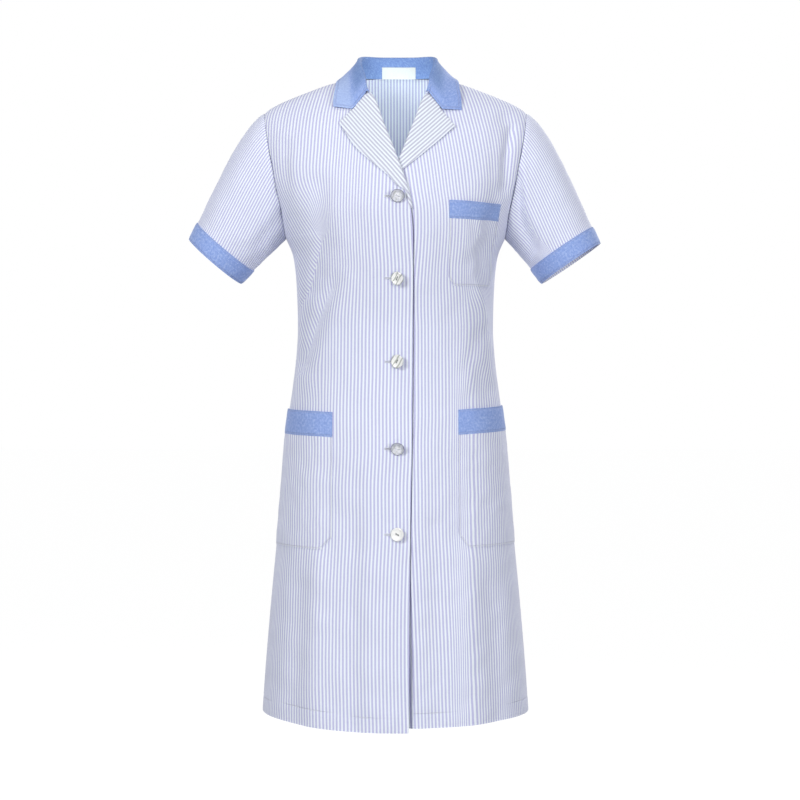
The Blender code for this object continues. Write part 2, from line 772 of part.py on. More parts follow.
def drill(ob, x):
    """Cuts one thread hole through a button."""
    bpy.ops.mesh.primitive_cylinder_add(
        vertices=10, radius=HOLE_RADIUS * MM, depth=0.02, location=(x * MM, 0, 0)
    )
    cutter = bpy.context.object
    cut = ob.modifiers.new("hole", "BOOLEAN")
    cut.operation = "DIFFERENCE"
    cut.solver = "EXACT"
    cut.object = cutter
    bpy.context.view_layer.update()
    depsgraph = bpy.context.evaluated_depsgraph_get()
    mesh = bpy.data.meshes.new_from_object(ob.evaluated_get(depsgraph))
    ob.modifiers.clear()
    ob.data = mesh
    bpy.data.objects.remove(cutter, do_unlink=True)


def build_buttons():
    high = BUTTON_THICK
    profile = [(8.6, 0.0), (BUTTON_RADIUS, 1.0), (BUTTON_RADIUS, high - 0.9),
               (8.8, high), (7.4, high - 0.2), (6.2, high - 1.0)]
    for k, (z, tilt, turn) in enumerate(zip(*BUTTON.values())):
        ob = lathe(f"button_{k + 1}", profile, 24)
        drill(ob, HOLE_SPACING / 2)
        drill(ob, -HOLE_SPACING / 2)
        across = np.array([-CENTRE])
        spot, n = over_front(across, np.array([z]), -1)
        spot, n = spot[0] * [-1, 1, 1], n[0] * [-1, 1, 1]
        t = np.radians(tilt)
        face = unit(n * np.cos(t) + np.array([0, 0, 1]) * np.sin(t))
        side = unit(np.cross([0, 0, 1], face))
        up = np.cross(face, side)
        a = np.radians(turn)
        right = side * np.cos(a) + up * np.sin(a)
        other = np.cross(face, right)
        frame = np.stack([right, other, face], 1)
        rest = LIFT + 0.15 + BUTTON_RADIUS * abs(np.sin(t))
        coords = np.array([v.co[:] for v in ob.data.vertices]) / MM
        placed = (coords @ frame.T + spot + n * rest) * MM
        ob.data.vertices.foreach_set("co", placed.ravel())
        ob.data.update()


def build():
    clear_scene()
    fronts = {kind: front_panel(kind) for kind in ("over", "under")}
    back = back_panel()
    for name, kind, side in (("front_right", "over", -1), ("front_left", "under", 1)):
        points, normals = fronts[kind]
        flip = np.array([side, 1, 1])
        rows, cols = points.shape[:2]
        faces = quads(rows, cols, turned=TURNED[kind])
        wall(name, points * flip, normals * flip, -WALL, 0, faces, "stripe")
    rows, cols = back[0].shape[:2]
    wall("back", *back, -WALL, 0, quads(rows, cols), "stripe")
    build_sleeves(fronts, back)
    build_pockets(fronts)
    build_lapels()
    build_collar()
    build_buttons()


build()
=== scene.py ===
"""The work coat dressed for rendering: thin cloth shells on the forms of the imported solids.

Lengths are in millimetres until a mesh is made. X runs to the wearer's left, the front faces
-Y, +Z is up, and the origin is the middle of the neck at the height of the shoulders. Each
front and what lies on it is worked out with X running to its own side, and turned over last.
"""

import math
from collections import namedtuple

import bpy
import numpy as np
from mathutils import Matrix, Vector


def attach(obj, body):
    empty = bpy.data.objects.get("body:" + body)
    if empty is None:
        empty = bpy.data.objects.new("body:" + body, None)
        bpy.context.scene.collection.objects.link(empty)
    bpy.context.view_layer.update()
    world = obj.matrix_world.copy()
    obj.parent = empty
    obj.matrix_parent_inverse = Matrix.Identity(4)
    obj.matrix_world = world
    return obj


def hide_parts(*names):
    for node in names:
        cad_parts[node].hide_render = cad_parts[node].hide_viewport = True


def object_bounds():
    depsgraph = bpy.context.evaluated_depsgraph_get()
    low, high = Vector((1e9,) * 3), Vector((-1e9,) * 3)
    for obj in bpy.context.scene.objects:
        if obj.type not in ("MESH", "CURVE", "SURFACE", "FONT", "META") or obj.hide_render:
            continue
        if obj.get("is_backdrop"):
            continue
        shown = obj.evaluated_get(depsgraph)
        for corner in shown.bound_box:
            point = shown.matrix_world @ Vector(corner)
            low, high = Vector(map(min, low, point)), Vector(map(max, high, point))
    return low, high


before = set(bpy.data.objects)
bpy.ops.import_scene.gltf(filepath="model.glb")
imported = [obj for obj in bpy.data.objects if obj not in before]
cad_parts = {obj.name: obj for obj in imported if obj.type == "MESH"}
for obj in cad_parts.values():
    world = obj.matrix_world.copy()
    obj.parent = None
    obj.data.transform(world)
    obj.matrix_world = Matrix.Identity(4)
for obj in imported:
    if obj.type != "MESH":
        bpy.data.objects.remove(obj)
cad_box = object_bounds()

MM = 0.001


def table(names, *rows):
    """A table with named columns, as a dictionary of arrays."""
    return {n: np.array([r[k] for r in rows], float) for k, n in enumerate(names.split())}


def folds(*rows):
    """Folds or creases: each runs from (x0, z0) to (x1, z1), with its width and depth."""
    return table("x0 z0 x1 z1 width depth", *rows)


# ---------------------------------------------------------------- sizes shared with the solids

# "over" is the wearer's right front, which laps over the other one, called "under"
FRONT = {"over": "front_right", "under": "front_left"}
SIDE = {"over": -1, "under": 1}
SEAM = 0.2  # left open between two pieces at a seam
CENTRE = 3.3  # the buttons stand this far to the wearer's left of the middle
CLOTH = 0.8  # one layer of cloth
DOUBLE = 1.7  # cloth with its facing or hem behind it
LAP_LIFT, LAP_FROM, LAP_TO = 2.0, 30.0, 62.0  # the over front rises onto the other between these
LAPEL_LIFT = 3.6  # more where the lapels cross
GROOVE, GROOVE_AT_HEM = 2.5, 2.8  # the under front's dip beside the lap's edge, and its growth
ARMPIT, SIDE_HEM = -228.0, -927.0  # heights
HEM_DIP = {"over": 15.0, "under": 9.0, "back": 3.0}  # how much lower the hem's middle hangs
HEM_DEPTH = 20.0
HEM_HALF = 199.0  # half the hem's width
FACING = 58.0  # width of the fronts' facings
SQUARENESS = 2.2  # power of the body's section; an ellipse has 2
SHOULDER_ROLL = 75.0  # how far below the shoulder seam the body is fully deep
ARM_MIDDLE, ARM_HALF_HEIGHT = -135.0, 93.0
ARM_DEPTH = {-1: 56.0, 1: 60.0}  # of the armhole, to the front and to the back
NECK_POINT = 69.0  # how far out the shoulder seam begins
BACK_NECK = 18.0  # height of the back's neckline
CUFF = 27.0
COLLAR_SHIFT = 3.0  # the collar sits this far to the wearer's left
COLLAR_DROP = (1.5, 6.5)  # and its tips hang lower than the table by this, right and left
ROLL = 2.3  # radius of the collar's fold
LAPEL_ROLL = 2.2  # and of the lapels'
TUCKED = 3.4  # how far a lapel's top runs on under the collar
PATCH = 44  # points across a pocket
STRIPE = 5.2  # width of one blue stripe and one white stripe together

TORSO = table(
    "height half_width front back",
    (-945, 199, 149, 147), (-855, 192.5, 144, 143), (-766, 185, 139, 139),
    (-676, 176.5, 133, 134), (-587, 169, 127, 129), (-520, 163, 121.5, 123),
    (-453, 153.5, 113, 112), (-408, 148, 109, 102), (-364, 145.3, 108, 96),
    (-319, 146.2, 113, 97), (-275, 149, 121, 102), (-250, 153.5, 125.5, 107),
    (-228, 163, 128.5, 110), (-195, 177, 131, 112), (-165, 191, 127, 111),
    (-135, 205, 117, 108), (-100, 216, 102, 103), (-60, 224, 85, 95),
    (-18, 229, 67, 81), (25, 231, 52, 64),
)
SHOULDER = table(
    "across height",
    (0, 36), (30, 33), (50, 24), (69, 11), (103, 0.5), (127, -8.5), (150, -17.5),
    (172, -27), (188, -36), (195, -42),
)
NECK_HEIGHT, SHOULDER_END = 11.0, -42.0  # the shoulder seam's height at its two ends
ARMHOLE = table(
    "height across",
    (-228, 163), (-189, 168.5), (-164, 174), (-130, 180), (-104, 185.5), (-74, 190.5),
    (-42, 195),
)
EDGE = {
    "over": table(
        "height across",
        (-945, -19), (-660, -21), (-538, -23.5), (-292, -25), (-200, -23), (-174, -18),
        (-124, -1.4), (-70, 18), (-19, 39), (-8, 50.5), (11, 69),
    ),
    "under": table(
        "height across",
        (-945, -19), (-200, -19), (-174, -16), (-124, 6.2), (-70, 27), (-19, 47), (-8, 54),
        (11, 69),
    ),
}
FOLDS = {
    "over": folds(
        (109, -157, 108, -247, 17, -4.0), (108, -247, 121, -302, 17, -4.0),
        (87, -300, 108, -345, 15, -2.4), (108, -345, 134, -410, 15, -3.0),
        (66, -930, 62, -640, 17, -2.5), (118, -930, 110, -700, 18, 3.0),
        (150, -930, 140, -740, 16, -3.0),
    ),
    "under": folds(
        (163, -60, 148, -179, 16, -4.5), (148, -179, 124, -271, 16, -4.5),
        (129, -372, 114, -411, 16, -3.0), (114, -411, 140, -452, 16, -3.0),
        (62, -930, 58, -650, 17, -2.5), (110, -930, 104, -700, 18, 3.0),
        (152, -930, 142, -740, 16, -3.0),
    ),
    "back": folds(
        (78, -300, 72, -445, 20, -5.0), (-74, -290, -78, -440, 20, -5.0),
        (132, -190, 112, -300, 18, -4.0), (-134, -185, -110, -310, 18, -4.0),
        (150, -930, 136, -600, 22, 4.0), (92, -930, 88, -520, 22, -5.0),
        (35, -930, 36, -640, 20, 3.5), (-28, -930, -30, -560, 22, -4.5),
        (-88, -930, -84, -660, 20, 4.5), (-140, -930, -130, -540, 20, -4.5),
    ),
}
# The open end of a sleeve is an oval about `middle`: `up` points to its top, in x and z, and
# `turn` is how far it faces back. top_end and low_end are how its top and bottom lines arrive.
Sleeve = namedtuple("Sleeve", "side middle up tall deep turn top_end low_end axis seed")
SLEEVES = {
    "sleeve_right": Sleeve(-1, (-268.7, 6.0, -260.7), (-0.753, 0.658), 50, 56, 0.08,
                           (-0.46, -0.888), (-0.695, -0.719), (-0.56, 0.0, -0.83), 6.4),
    "sleeve_left": Sleeve(1, (261.7, 2.0, -264.5), (0.8255, 0.5623), 52, 55, -0.035,
                          (0.435, -0.90), (0.594, -0.804), (0.50, 0.0, -0.866), 3.3),
}
SLEEVE_TOP_START, SLEEVE_LOW_START = (0.90, -0.43), (0.68, -0.73)
SLEEVE_FULL = 0.55  # how far the sleeve keeps its first direction
SLEEVE_RADIUS, SLEEVE_LENGTH = 56.0, 190.0
Lapel = namedtuple("Lapel", "kind top seed outer")
LAPELS = {
    "lapel_right": Lapel("over", (41.5, -20.5), 5.9, (
        (81.0, -66.5), (60.7, -99.0), (29.4, -131.2), (10.3, -148.4), (-1.7, -161.6),
        (-13.0, -168.3), (-18.6, -186.0), (-22.2, -194.0))),
    "lapel_left": Lapel("under", (48.2, -21.3), 2.7, (
        (86.0, -71.3), (60.0, -95.5), (30.0, -121.5), (6.0, -141.0), (-9.0, -152.0))),
}
# Half the collar from the back to its tip: neck seam, roll line, middle and outer edge
COLLAR = table(
    "nx ny nz rx ry rz mx my mz ox oy oz",
    (0, 42, 18.9, 0, 44, 47, 0, 58, 27, 0, 70.5, 0),
    (26, 38, 18.2, 27, 41, 46.8, 29, 55.5, 27, 33, 68.5, 0.5),
    (47, 28.5, 17, 49, 28, 45.5, 57, 38, 27, 66, 49, 5.5),
    (62, 13.5, 14, 55, 7, 38, 68, 12, 27, 84, 18, 9),
    (66, -9, 11, 54, -15, 26, 71, -16, 15, 90, -18.5, 4.5),
    (60, -34.5, 3, 49, -39, 8, 68.5, -48, -6, 91.5, -46, -9),
    (50.5, -51.5, -8, 46.5, -55, -6.5, 66.5, -68.5, -26, 93.5, -60.5, -25),
    (42, -63.4, -17.8, 42, -66.2, -17.4, 65.4, -77.8, -44.6, 93.8, -69, -38),
)
# Heights over ARMPIT stand for shares of the way up the armhole. `cut` is the width and height
# of the cut corners; the mouth climbs by `rise` towards the side and starts lower by `drop`.
Pocket = namedtuple("Pocket", "kind low band mouth inner outer cut seed shift rise drop")
POCKETS = {
    "breast_pocket": Pocket("under", -303, ARMPIT + 0.207, ARMPIT + 0.316, 78.5, 172, (7, 13),
                            2.2, 1.6, 0.0, 0.0),
    "pocket_right": Pocket("over", -681, -519, -483, 93, None, (16, 16), 5.1, 1.1, 5.0, 2.6),
    "pocket_left": Pocket("under", -679, -519, -483, 93, None, (14, 18), 8.4, 0.7, 6.6, -0.8),
}
BUTTON = table(
    "height tilt yaw turn look",
    (-177, -32, 3, -20, 2), (-292.5, 4, 29, 63, 1), (-413, -4, 27, 55, 1),
    (-538, -31, 8, -12, 2), (-660.5, 2, 20, -27, 0),
)
BUTTON_PROFILE = (
    (7.6, 0.0), (8.9, 0.15), (9.7, 0.7), (10.0, 1.4), (9.9, 2.1), (9.5, 2.7), (8.9, 3.05),
    (8.2, 3.1), (7.6, 2.9), (7.0, 2.45), (6.2, 2.2), (4.0, 2.1),
)
EYE, EYE_RADIUS = 2.1, 1.1  # a button's two holes, one to each side
BUTTON_ROUND = 64  # corners round a button
STRAND, SHANK, BAR, HOLE_STITCH = 0.26, 0.8, 0.32, 0.24  # radii of the threads
BUTTONHOLE = 21.0
LABEL_MIDDLE, LABEL_HALF = 5.0, 25.5
LABEL_FROM, LABEL_TO = -0.03, 0.56  # shares of the stand's height

# ---------------------------------------------------------------- finer cloth, for looks alone

CREASES = {
    "over": folds(
        (109, -237, 116, -269, 4, -0.9), (116, -269, 122, -292, 4, -1.4),
        (122, -292, 128, -311, 4, -1.6), (128, -311, 139, -328, 4, -1.6),
        (139, -328, 146, -345, 5, -1.4), (118, -236, 132, -300, 9, 1.6),
        (90, -308, 101, -334, 6, -1.2), (101, -334, 115, -359, 6, -2.0),
        (115, -359, 125, -389, 6, -1.8), (125, -389, 138, -425, 7, -1.4),
        (66, -296, 88, -350, 13, 1.8), (88, -350, 112, -412, 12, 1.6),
        (112, -300, 120, -338, 8, 1.6), (160, -95, 157, -150, 9, -1.4),
        (150, -120, 146, -186, 9, 1.2), (58, -120, 66, -205, 20, -1.2),
        (30, -330, 26, -520, 13, -1.2), (40, -560, 38, -900, 14, 1.2),
        (92, -560, 90, -800, 14, -1.3),
    ),
    "under": folds(
        (120, -208, 121, -229, 7, 1.6), (121, -229, 110, -248, 6, 1.8),
        (110, -248, 116, -268, 6, 1.8), (116, -268, 110, -284, 6, 1.8),
        (110, -284, 123, -312, 6, 1.8), (123, -312, 131, -345, 7, 1.8),
        (131, -345, 132, -375, 8, 1.6), (138, -205, 138, -232, 9, -2.0),
        (138, -232, 124, -262, 9, -2.0), (124, -262, 130, -284, 8, -1.6),
        (130, -284, 140, -330, 10, -1.8), (140, -330, 146, -372, 9, -2.0),
        (139, -328, 146, -345, 5, -1.4), (138, -376, 118, -410, 12, 1.6),
        (118, -410, 104, -450, 12, 1.2), (92, -330, 78, -400, 16, -1.2),
        (172, -70, 165, -110, 6, -4.6), (165, -110, 162, -160, 7, -6.0),
        (154, -70, 150, -150, 8, 1.4), (48, -230, 44, -300, 14, 1.2),
        (34, -320, 46, -380, 14, -1.2), (38, -560, 36, -900, 14, 1.2),
        (88, -560, 86, -800, 14, -1.3),
    ),
    "back": folds(
        (54, -322, 98, -350, 8, -2.0), (-58, -332, -104, -356, 8, -1.8),
        (92, -366, 134, -398, 8, -2.2), (-86, -378, -130, -402, 8, -2.0),
        (34, -60, 26, -235, 13, 1.4), (-38, -85, -31, -250, 13, -1.4),
        (158, -118, 132, -236, 8, -2.8), (-156, -120, -130, -244, 8, -2.6),
        (120, -40, 128, -150, 10, 1.8), (-124, -44, -131, -156, 10, 1.8),
        (6, -470, 14, -640, 14, -1.6),
    ),
}
# For each sleeve, the folds on its front (-1) and on its back (1)
BACK_OF_SLEEVE = folds((176, -170, 214, -236, 12, -2.0), (196, -110, 252, -204, 18, 1.2))
SLEEVE_FOLDS = {
    "sleeve_right": {
        -1: folds((168, -196, 200, -236, 9, -1.8), (172, -176, 214, -232, 9, 1.6),
                  (186, -120, 236, -212, 16, -1.0), (206, -90, 262, -190, 16, 0.8)),
        1: BACK_OF_SLEEVE,
    },
    "sleeve_left": {
        -1: folds((181, -136, 180, -165, 5, -3.2), (180, -165, 181, -195, 7, -5.6),
                  (181, -195, 188, -216, 8, -6.0), (188, -216, 204, -246, 9, -4.4),
                  (188, -128, 193, -165, 5, 2.0), (193, -165, 198, -192, 6, 2.4),
                  (198, -192, 209, -212, 7, 2.4), (209, -212, 218, -236, 8, 1.8),
                  (222, -150, 246, -222, 15, -1.0), (206, -90, 262, -190, 16, 0.8)),
        1: BACK_OF_SLEEVE,
    },
}

# How much narrower the stripes lie on these pieces than on the fronts
SLEEVE_CROWD, LAPEL_CROWD, BACK_CROWD = 1.29, 1.14, 1.09

# How far round the over front its dart and its tuck lie, and how fast the cloth slides in
DART = table(
    "height round",
    (-352, 214), (-338, 188), (-328, 165), (-311, 147), (-292, 136), (-269, 127), (-237, 113),
)
DART_SLIDE = 0.62
TUCK = table(
    "height round",
    (-462, 214), (-440, 182), (-425, 160), (-408, 146), (-389, 134), (-359, 122),
    (-334, 106), (-292, 86),
)
TUCK_SLIDE, TUCK_MOST = 0.36, 105.0
# Where the stripes sway: across from x0 to x1 and down from z0 to z1 they move out by `out`
SWAY = {
    "over": table(
        "x0 x1 z0 z1 out",
        (32, 106, 100, 90, -10), (32, 98, -262, -356, 10), (98, 124, -386, -424, 6),
        (98, 126, -428, -476, -6),
    ),
    "under": table(
        "x0 x1 z0 z1 out",
        (30, 100, 100, 90, -6), (96, 120, -150, -235, -14), (98, 120, -288, -345, 18),
        (40, 96, -270, -340, 5), (78, 110, -374, -474, -15), (150, 178, -60, -150, -8),
    ),
}
# How far out the stripes of each front have come at each height, as the cloth hangs off straight
LEAN = table(
    "height over under",
    (-935, 13.4, 36.3), (-886, 14.7, 34.7), (-829, 15.4, 33.2), (-771, 15.1, 30.8),
    (-713, 13.6, 28.4), (-656, 11.4, 25.9), (-598, 11.8, 25.2), (-540, 9.8, 24.5),
    (-482, 10.2, 25.5), (-425, 9.2, 25.3), (-367, 8.8, 25.5), (-338, 8.2, 24.6),
    (-309, 7.8, 24.4), (-280, 7.8, 25.9), (-252, 9.2, 28.1), (-223, 10.6, 29.5),
    (-194, 11.8, 28.9), (-165, 10.7, 24.6), (-136, 9.4, 20.7), (-107, 7.4, 16.4),
    (-78, 5.9, 11.3), (-50, 4.2, 5.8), (-20, 0, 0), (20, -5, -7.7),
)
# The inner edge of a soft fold behind the breast pocket, past which the stripes crowd together
RIDGE = table(
    "height across",
    (-390, 143), (-360, 137), (-338, 132.5), (-320, 130.5), (-310, 124), (-297, 117.5),
    (-281, 110.5), (-265, 117.5), (-244, 110.5), (-224, 122), (-208, 121),
)
RIDGE_CROWD, RIDGE_MOST = 0.6, 34.0
# The front edge of the slack at the wearer's left armhole, on the sleeve
TURN_LINE = table(
    "height across",
    (-275, 226), (-235, 207), (-212, 199.5), (-192, 189.5), (-171, 187), (-146, 184),
    (-116, 178),
)
STEEPEST = 1.3  # most cloth that shows in each mm across, on the sides above the hip
# and least of the cloth that shows in each mm round the side, mostly and beside the dart
LEAST, LEAST_BY_DART = 0.76, 0.47
STEEP_FROM = {"over": 150, "under": 190}
DRIFT_SEED = {"over": 1.3, "under": 4.1}

STRIPE_DEEP, STRIPE_PALE = (0.455, 0.462, 0.705, 1), (0.575, 0.572, 0.79, 1)
WHITE_WARM, WHITE_COOL = (0.80, 0.85, 0.915, 1), (0.825, 0.88, 0.945, 1)
PLAIN_DEEP, PLAIN_PALE = (0.20, 0.30, 0.65, 1), (0.34, 0.46, 0.80, 1)
STITCH = 2.6  # length of one stitch and the gap after it
NO_STITCH = 50.0  # a distance at which no stitches show

# ---------------------------------------------------------------- curves and grids


def smooth(x, xs, ys):
    """Value at x of a smooth curve through (xs, ys), with no overshoot and flat past its ends."""
    x = np.asarray(x, float)
    step = np.diff(xs)
    slope = np.diff(ys) / step
    lean = np.concatenate(([slope[0]], (slope[1:] + slope[:-1]) / 2, [slope[-1]]))
    turning = np.concatenate(([False], slope[1:] * slope[:-1] <= 0, [False]))
    lean[turning] = 0
    k = np.clip(np.searchsorted(xs, x) - 1, 0, len(xs) - 2)
    t = np.clip((x - xs[k]) / step[k], 0, 1)
    rest = 1 - t
    ends = ys[k] * (1 + 2 * t) * rest**2 + ys[k + 1] * t * t * (3 - 2 * t)
    bends = (lean[k] * t * rest**2 - lean[k + 1] * t * t * rest) * step[k]
    return ends + bends


def curve(z, rows, column="across"):
    """A column of a table at the height z, as a smooth curve."""
    return smooth(z, rows["height"], rows[column])


def straight(z, rows, column):
    """A column of a table at the height z, in straight steps."""
    return np.interp(z, rows["height"], rows[column])


def ease(x, low, high):
    t = np.clip((x - low) / (high - low), 0, 1)
    return t * t * (3 - 2 * t)


def fade(x, low, high):
    return 1 - ease(x, low, high)


def bell(x, width):
    return np.exp(-((x / width) ** 2))


def ramp(x, softness):
    """0 below 0 and x above it, with a soft bend between."""
    return softness * np.log1p(np.exp(x / softness))


def unit(v):
    return v / np.maximum(np.linalg.norm(v, axis=-1, keepdims=True), 1e-9)


def pair(across, along):
    return np.stack([across, along], -1)


def parts(points):
    return points[..., 0], points[..., 1], points[..., 2]


def runs_of(points, axis=0):
    """Length run along each line of a grid, or along one line, from its first point."""
    total = np.cumsum(np.linalg.norm(np.diff(points, axis=axis), axis=-1), axis=axis)
    shape = list(total.shape)
    shape[axis] = 1
    return np.concatenate([np.zeros(shape), total], axis)


def to_end(points):
    """Length along each row of a grid to its last point."""
    return runs_of(points[:, ::-1], 1)[:, ::-1]


def at_arc(line, arc, where):
    return np.stack([np.interp(where, arc, line[:, k]) for k in range(3)], 1)


def normals_of(points):
    return unit(np.cross(np.gradient(points, axis=1), np.gradient(points, axis=0)))


def facing(normals, way):
    """The normals, all turned over if they point against `way` on the whole."""
    return -normals if np.sum(normals * way) < 0 else normals


def fold_depth(x, z, rows):
    """How far the cloth is pushed in or out at (x, z)."""
    out = np.zeros_like(x)
    low = np.zeros_like(x)
    for x0, z0, x1, z1, width, depth in zip(*rows.values()):
        run = np.array([x1 - x0, z1 - z0])
        t = np.clip(((x - x0) * run[0] + (z - z0) * run[1]) / (run @ run), 0, 1)
        bump = depth * bell(np.hypot(x - x0 - t * run[0], z - z0 - t * run[1]), width)
        out = np.maximum(out, bump)
        low = np.minimum(low, bump)
    return out + low


def drift(a, b, seed, size):
    """Slow, uneven waves of about `size` mm across a sheet, between -1 and 1."""
    total = 0.0
    for k, (turn, long) in enumerate(((0.3, 1.0), (1.35, 0.71), (2.2, 0.53), (2.9, 0.37))):
        turn = turn + seed * 0.7
        phase = seed * 2.3 + k * 1.9
        along = a * math.cos(turn) + b * math.sin(turn)
        across = b * math.cos(turn) - a * math.sin(turn)
        bend = 1.1 * np.sin(across * 2 * np.pi / (size * long * 2.7) + phase * 1.7)
        total = total + np.sin(along * 2 * np.pi / (size * long) + bend + phase) * (0.4 - 0.07 * k)
    return total / 1.2


# ---------------------------------------------------------------- the body's form

ROW = np.linspace(-0.35, 1, 1081)  # shares along half a row, from a little past the middle
ROUNDED = np.sign(ROW) * np.abs(np.sin(ROW * np.pi / 2)) ** (2 / SQUARENESS)


def body_y(x, z, face):
    """y of the outside of the body; face is -1 for the front and 1 for the back."""
    wide = curve(z, TORSO, "half_width")
    deep = curve(z, TORSO, "front" if face < 0 else "back")
    top = smooth(np.abs(x), SHOULDER["across"], SHOULDER["height"])
    drop = np.clip((top - z) / SHOULDER_ROLL, 0, 1)
    part = np.clip(np.abs(x) / wide, 0, 1)
    rise = np.sqrt(1 - (1 - drop) ** 2)
    return face * deep * rise * (1 - part**SQUARENESS) ** (1 / SQUARENESS)


def armhole(turn, face):
    """A point of the armhole; turn is 0 at the armpit and 1 at the shoulder."""
    angle = np.pi * (1 - turn)
    z = ARM_MIDDLE + ARM_HALF_HEIGHT * np.cos(angle)
    return np.array([float(curve(z, ARMHOLE)), face * ARM_DEPTH[face] * np.sin(angle), z])


def row_below(level, face, dip):
    """A row of the body below the armpits, sinking by `dip` in the middle at the hem."""
    z = level - dip * ease(-level, 560, 927) * np.cos(ROW * np.pi / 2) ** 2
    x = curve(z, TORSO, "half_width") * ROUNDED
    return np.stack([x, body_y(x, z, face), z], 1)


def row_above(turn, face):
    """A row of the body from the middle to the armhole, which ends as the shoulder seam."""
    end = armhole(turn, face)
    x = end[0] * (ROUNDED * (1 - turn) + ROW * turn)
    top = smooth(np.abs(x), SHOULDER["across"], SHOULDER["height"])
    if face > 0:
        neck = BACK_NECK + (NECK_HEIGHT - BACK_NECK) * (x / NECK_POINT) ** 2
        top = np.where(np.abs(x) < NECK_POINT, neck, top)
    z = end[2] + (top - SHOULDER_END) * turn**2
    gap = end[1] - body_y(end[0], end[2], face)
    return np.stack([x, body_y(x, z, face) + gap * np.clip(ROW, 0, 1) ** 4, z], 1)


def body_row(kind, level):
    """One row and its distances from the middle line. Up to ARMPIT the level is a height, above
    it ARMPIT plus the share of the way up the armhole."""
    face = 1 if kind == "back" else -1
    if level <= ARMPIT:
        line = row_below(level, face, HEM_DIP[kind])
    else:
        line = row_above(level - ARMPIT, face)
    run = runs_of(line)
    return line, run - np.interp(0, line[:, 0], run)


def body_levels(step, turns):
    low = np.linspace(SIDE_HEM, ARMPIT, int((ARMPIT - SIDE_HEM) / step) + 1)
    low = np.insert(low, 1, low[0] + np.array([0.8, 2.0]))
    return np.concatenate([low, ARMPIT + np.arange(1, turns + 1) / turns])


# ---------------------------------------------------------------- meshes


def mesh_object(name, verts, faces, mat):
    mesh = bpy.data.meshes.new(name)
    mesh.from_pydata((np.array(verts) * MM).tolist(), [], faces)
    mesh.materials.append(mat)
    ob = bpy.data.objects.new(name, mesh)
    bpy.context.collection.objects.link(ob)
    return ob


def mark_points(mesh, name, values):
    mesh.attributes.new(name, "FLOAT", "POINT").data.foreach_set(
        "value", np.asarray(values, np.float32))


def shade(mesh, sharp):
    mesh.shade_smooth()
    mesh.set_sharp_from_angle(angle=math.radians(sharp))
    mesh.update()


def shell(name, points, normals, inner, outer, uv, marks, mat):
    """A closed thin wall between two offsets of a grid of points, with its pattern's places
    as a UV map, in metres, and its stitch marks as attributes, in millimetres."""
    shape = points.shape[:2]
    count = shape[0] * shape[1]
    verts = np.concatenate([
        (points + normals * np.broadcast_to(off, shape)[..., None]).reshape(-1, 3)
        for off in (outer, inner)
    ])
    index = np.arange(count).reshape(shape)
    face = np.stack([index[:-1, :-1], index[:-1, 1:], index[1:, 1:], index[1:, :-1]], -1)
    face = face.reshape(-1, 4)
    border = np.concatenate([index[0, :-1], index[:-1, -1], index[-1, :0:-1], index[:0:-1, 0]])
    after = np.roll(border, -1)
    rim = np.stack([border, border + count, after + count, after], -1)
    faces = np.concatenate([face, face[:, ::-1] + count, rim])
    a, b, d = (verts[face[:, k]] for k in (0, 1, 3))
    if np.sum(np.cross(b - a, d - a) * normals[:-1, :-1].reshape(-1, 3)) < 0:
        faces = faces[:, ::-1]
    ob = mesh_object(name, verts, faces.tolist(), mat)
    mesh = ob.data
    flat = np.concatenate([uv.reshape(-1, 2)] * 2) * MM
    corner = np.empty(len(mesh.loops), int)
    mesh.loops.foreach_get("vertex_index", corner)
    layer = mesh.uv_layers.new(name="Cloth")
    layer.uv.foreach_set("vector", flat[corner].astype(np.float32).ravel())
    for mark, value in marks.items():
        value = np.broadcast_to(value, shape).reshape(-1)
        mark_points(mesh, mark, np.concatenate([value, value]))
    shade(mesh, 40)
    return ob


def area_of(points):
    quad = np.cross(points[1:, 1:] - points[:-1, :-1], points[1:, :-1] - points[:-1, 1:])
    return float(np.linalg.norm(quad, axis=-1).sum() / 2) * MM * MM


def sew(node, slot, points, normals, inner, outer, uv, marks, side=1, crowd=1,
        flat=None):
    """The shell of one piece. It rides with the coat and stands for its solid; side turns it over,
    crowd narrows its stripes, and flat gives the places on its cut where uv doesn't."""
    turned = np.array([side, 1, 1])
    ob = shell(node + "_cloth", points * turned, normals * turned, inner, outer,
               uv * [side * crowd, 1], marks, CLOTHS[slot])
    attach(ob, "root")
    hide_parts(node)
    flat = uv if flat is None else flat
    wide, long = (float(np.ptp(flat[..., k])) * MM for k in (0, 1))
    area = area_of(points)


# ---------------------------------------------------------------- materials


class Wire:
    """What comes out of a node, to be reckoned with like a number."""

    def __init__(self, kit, socket):
        self.kit, self.socket = kit, socket

    def __add__(self, other):
        return self.kit.math("ADD", self, other)

    def __sub__(self, other):
        return self.kit.math("SUBTRACT", self, other)

    def __rsub__(self, other):
        return self.kit.math("SUBTRACT", other, self)

    def __mul__(self, other):
        return self.kit.math("MULTIPLY", self, other)

    def __truediv__(self, other):
        return self.kit.math("DIVIDE", self, other)

    def __abs__(self):
        return self.kit.math("ABSOLUTE", self)


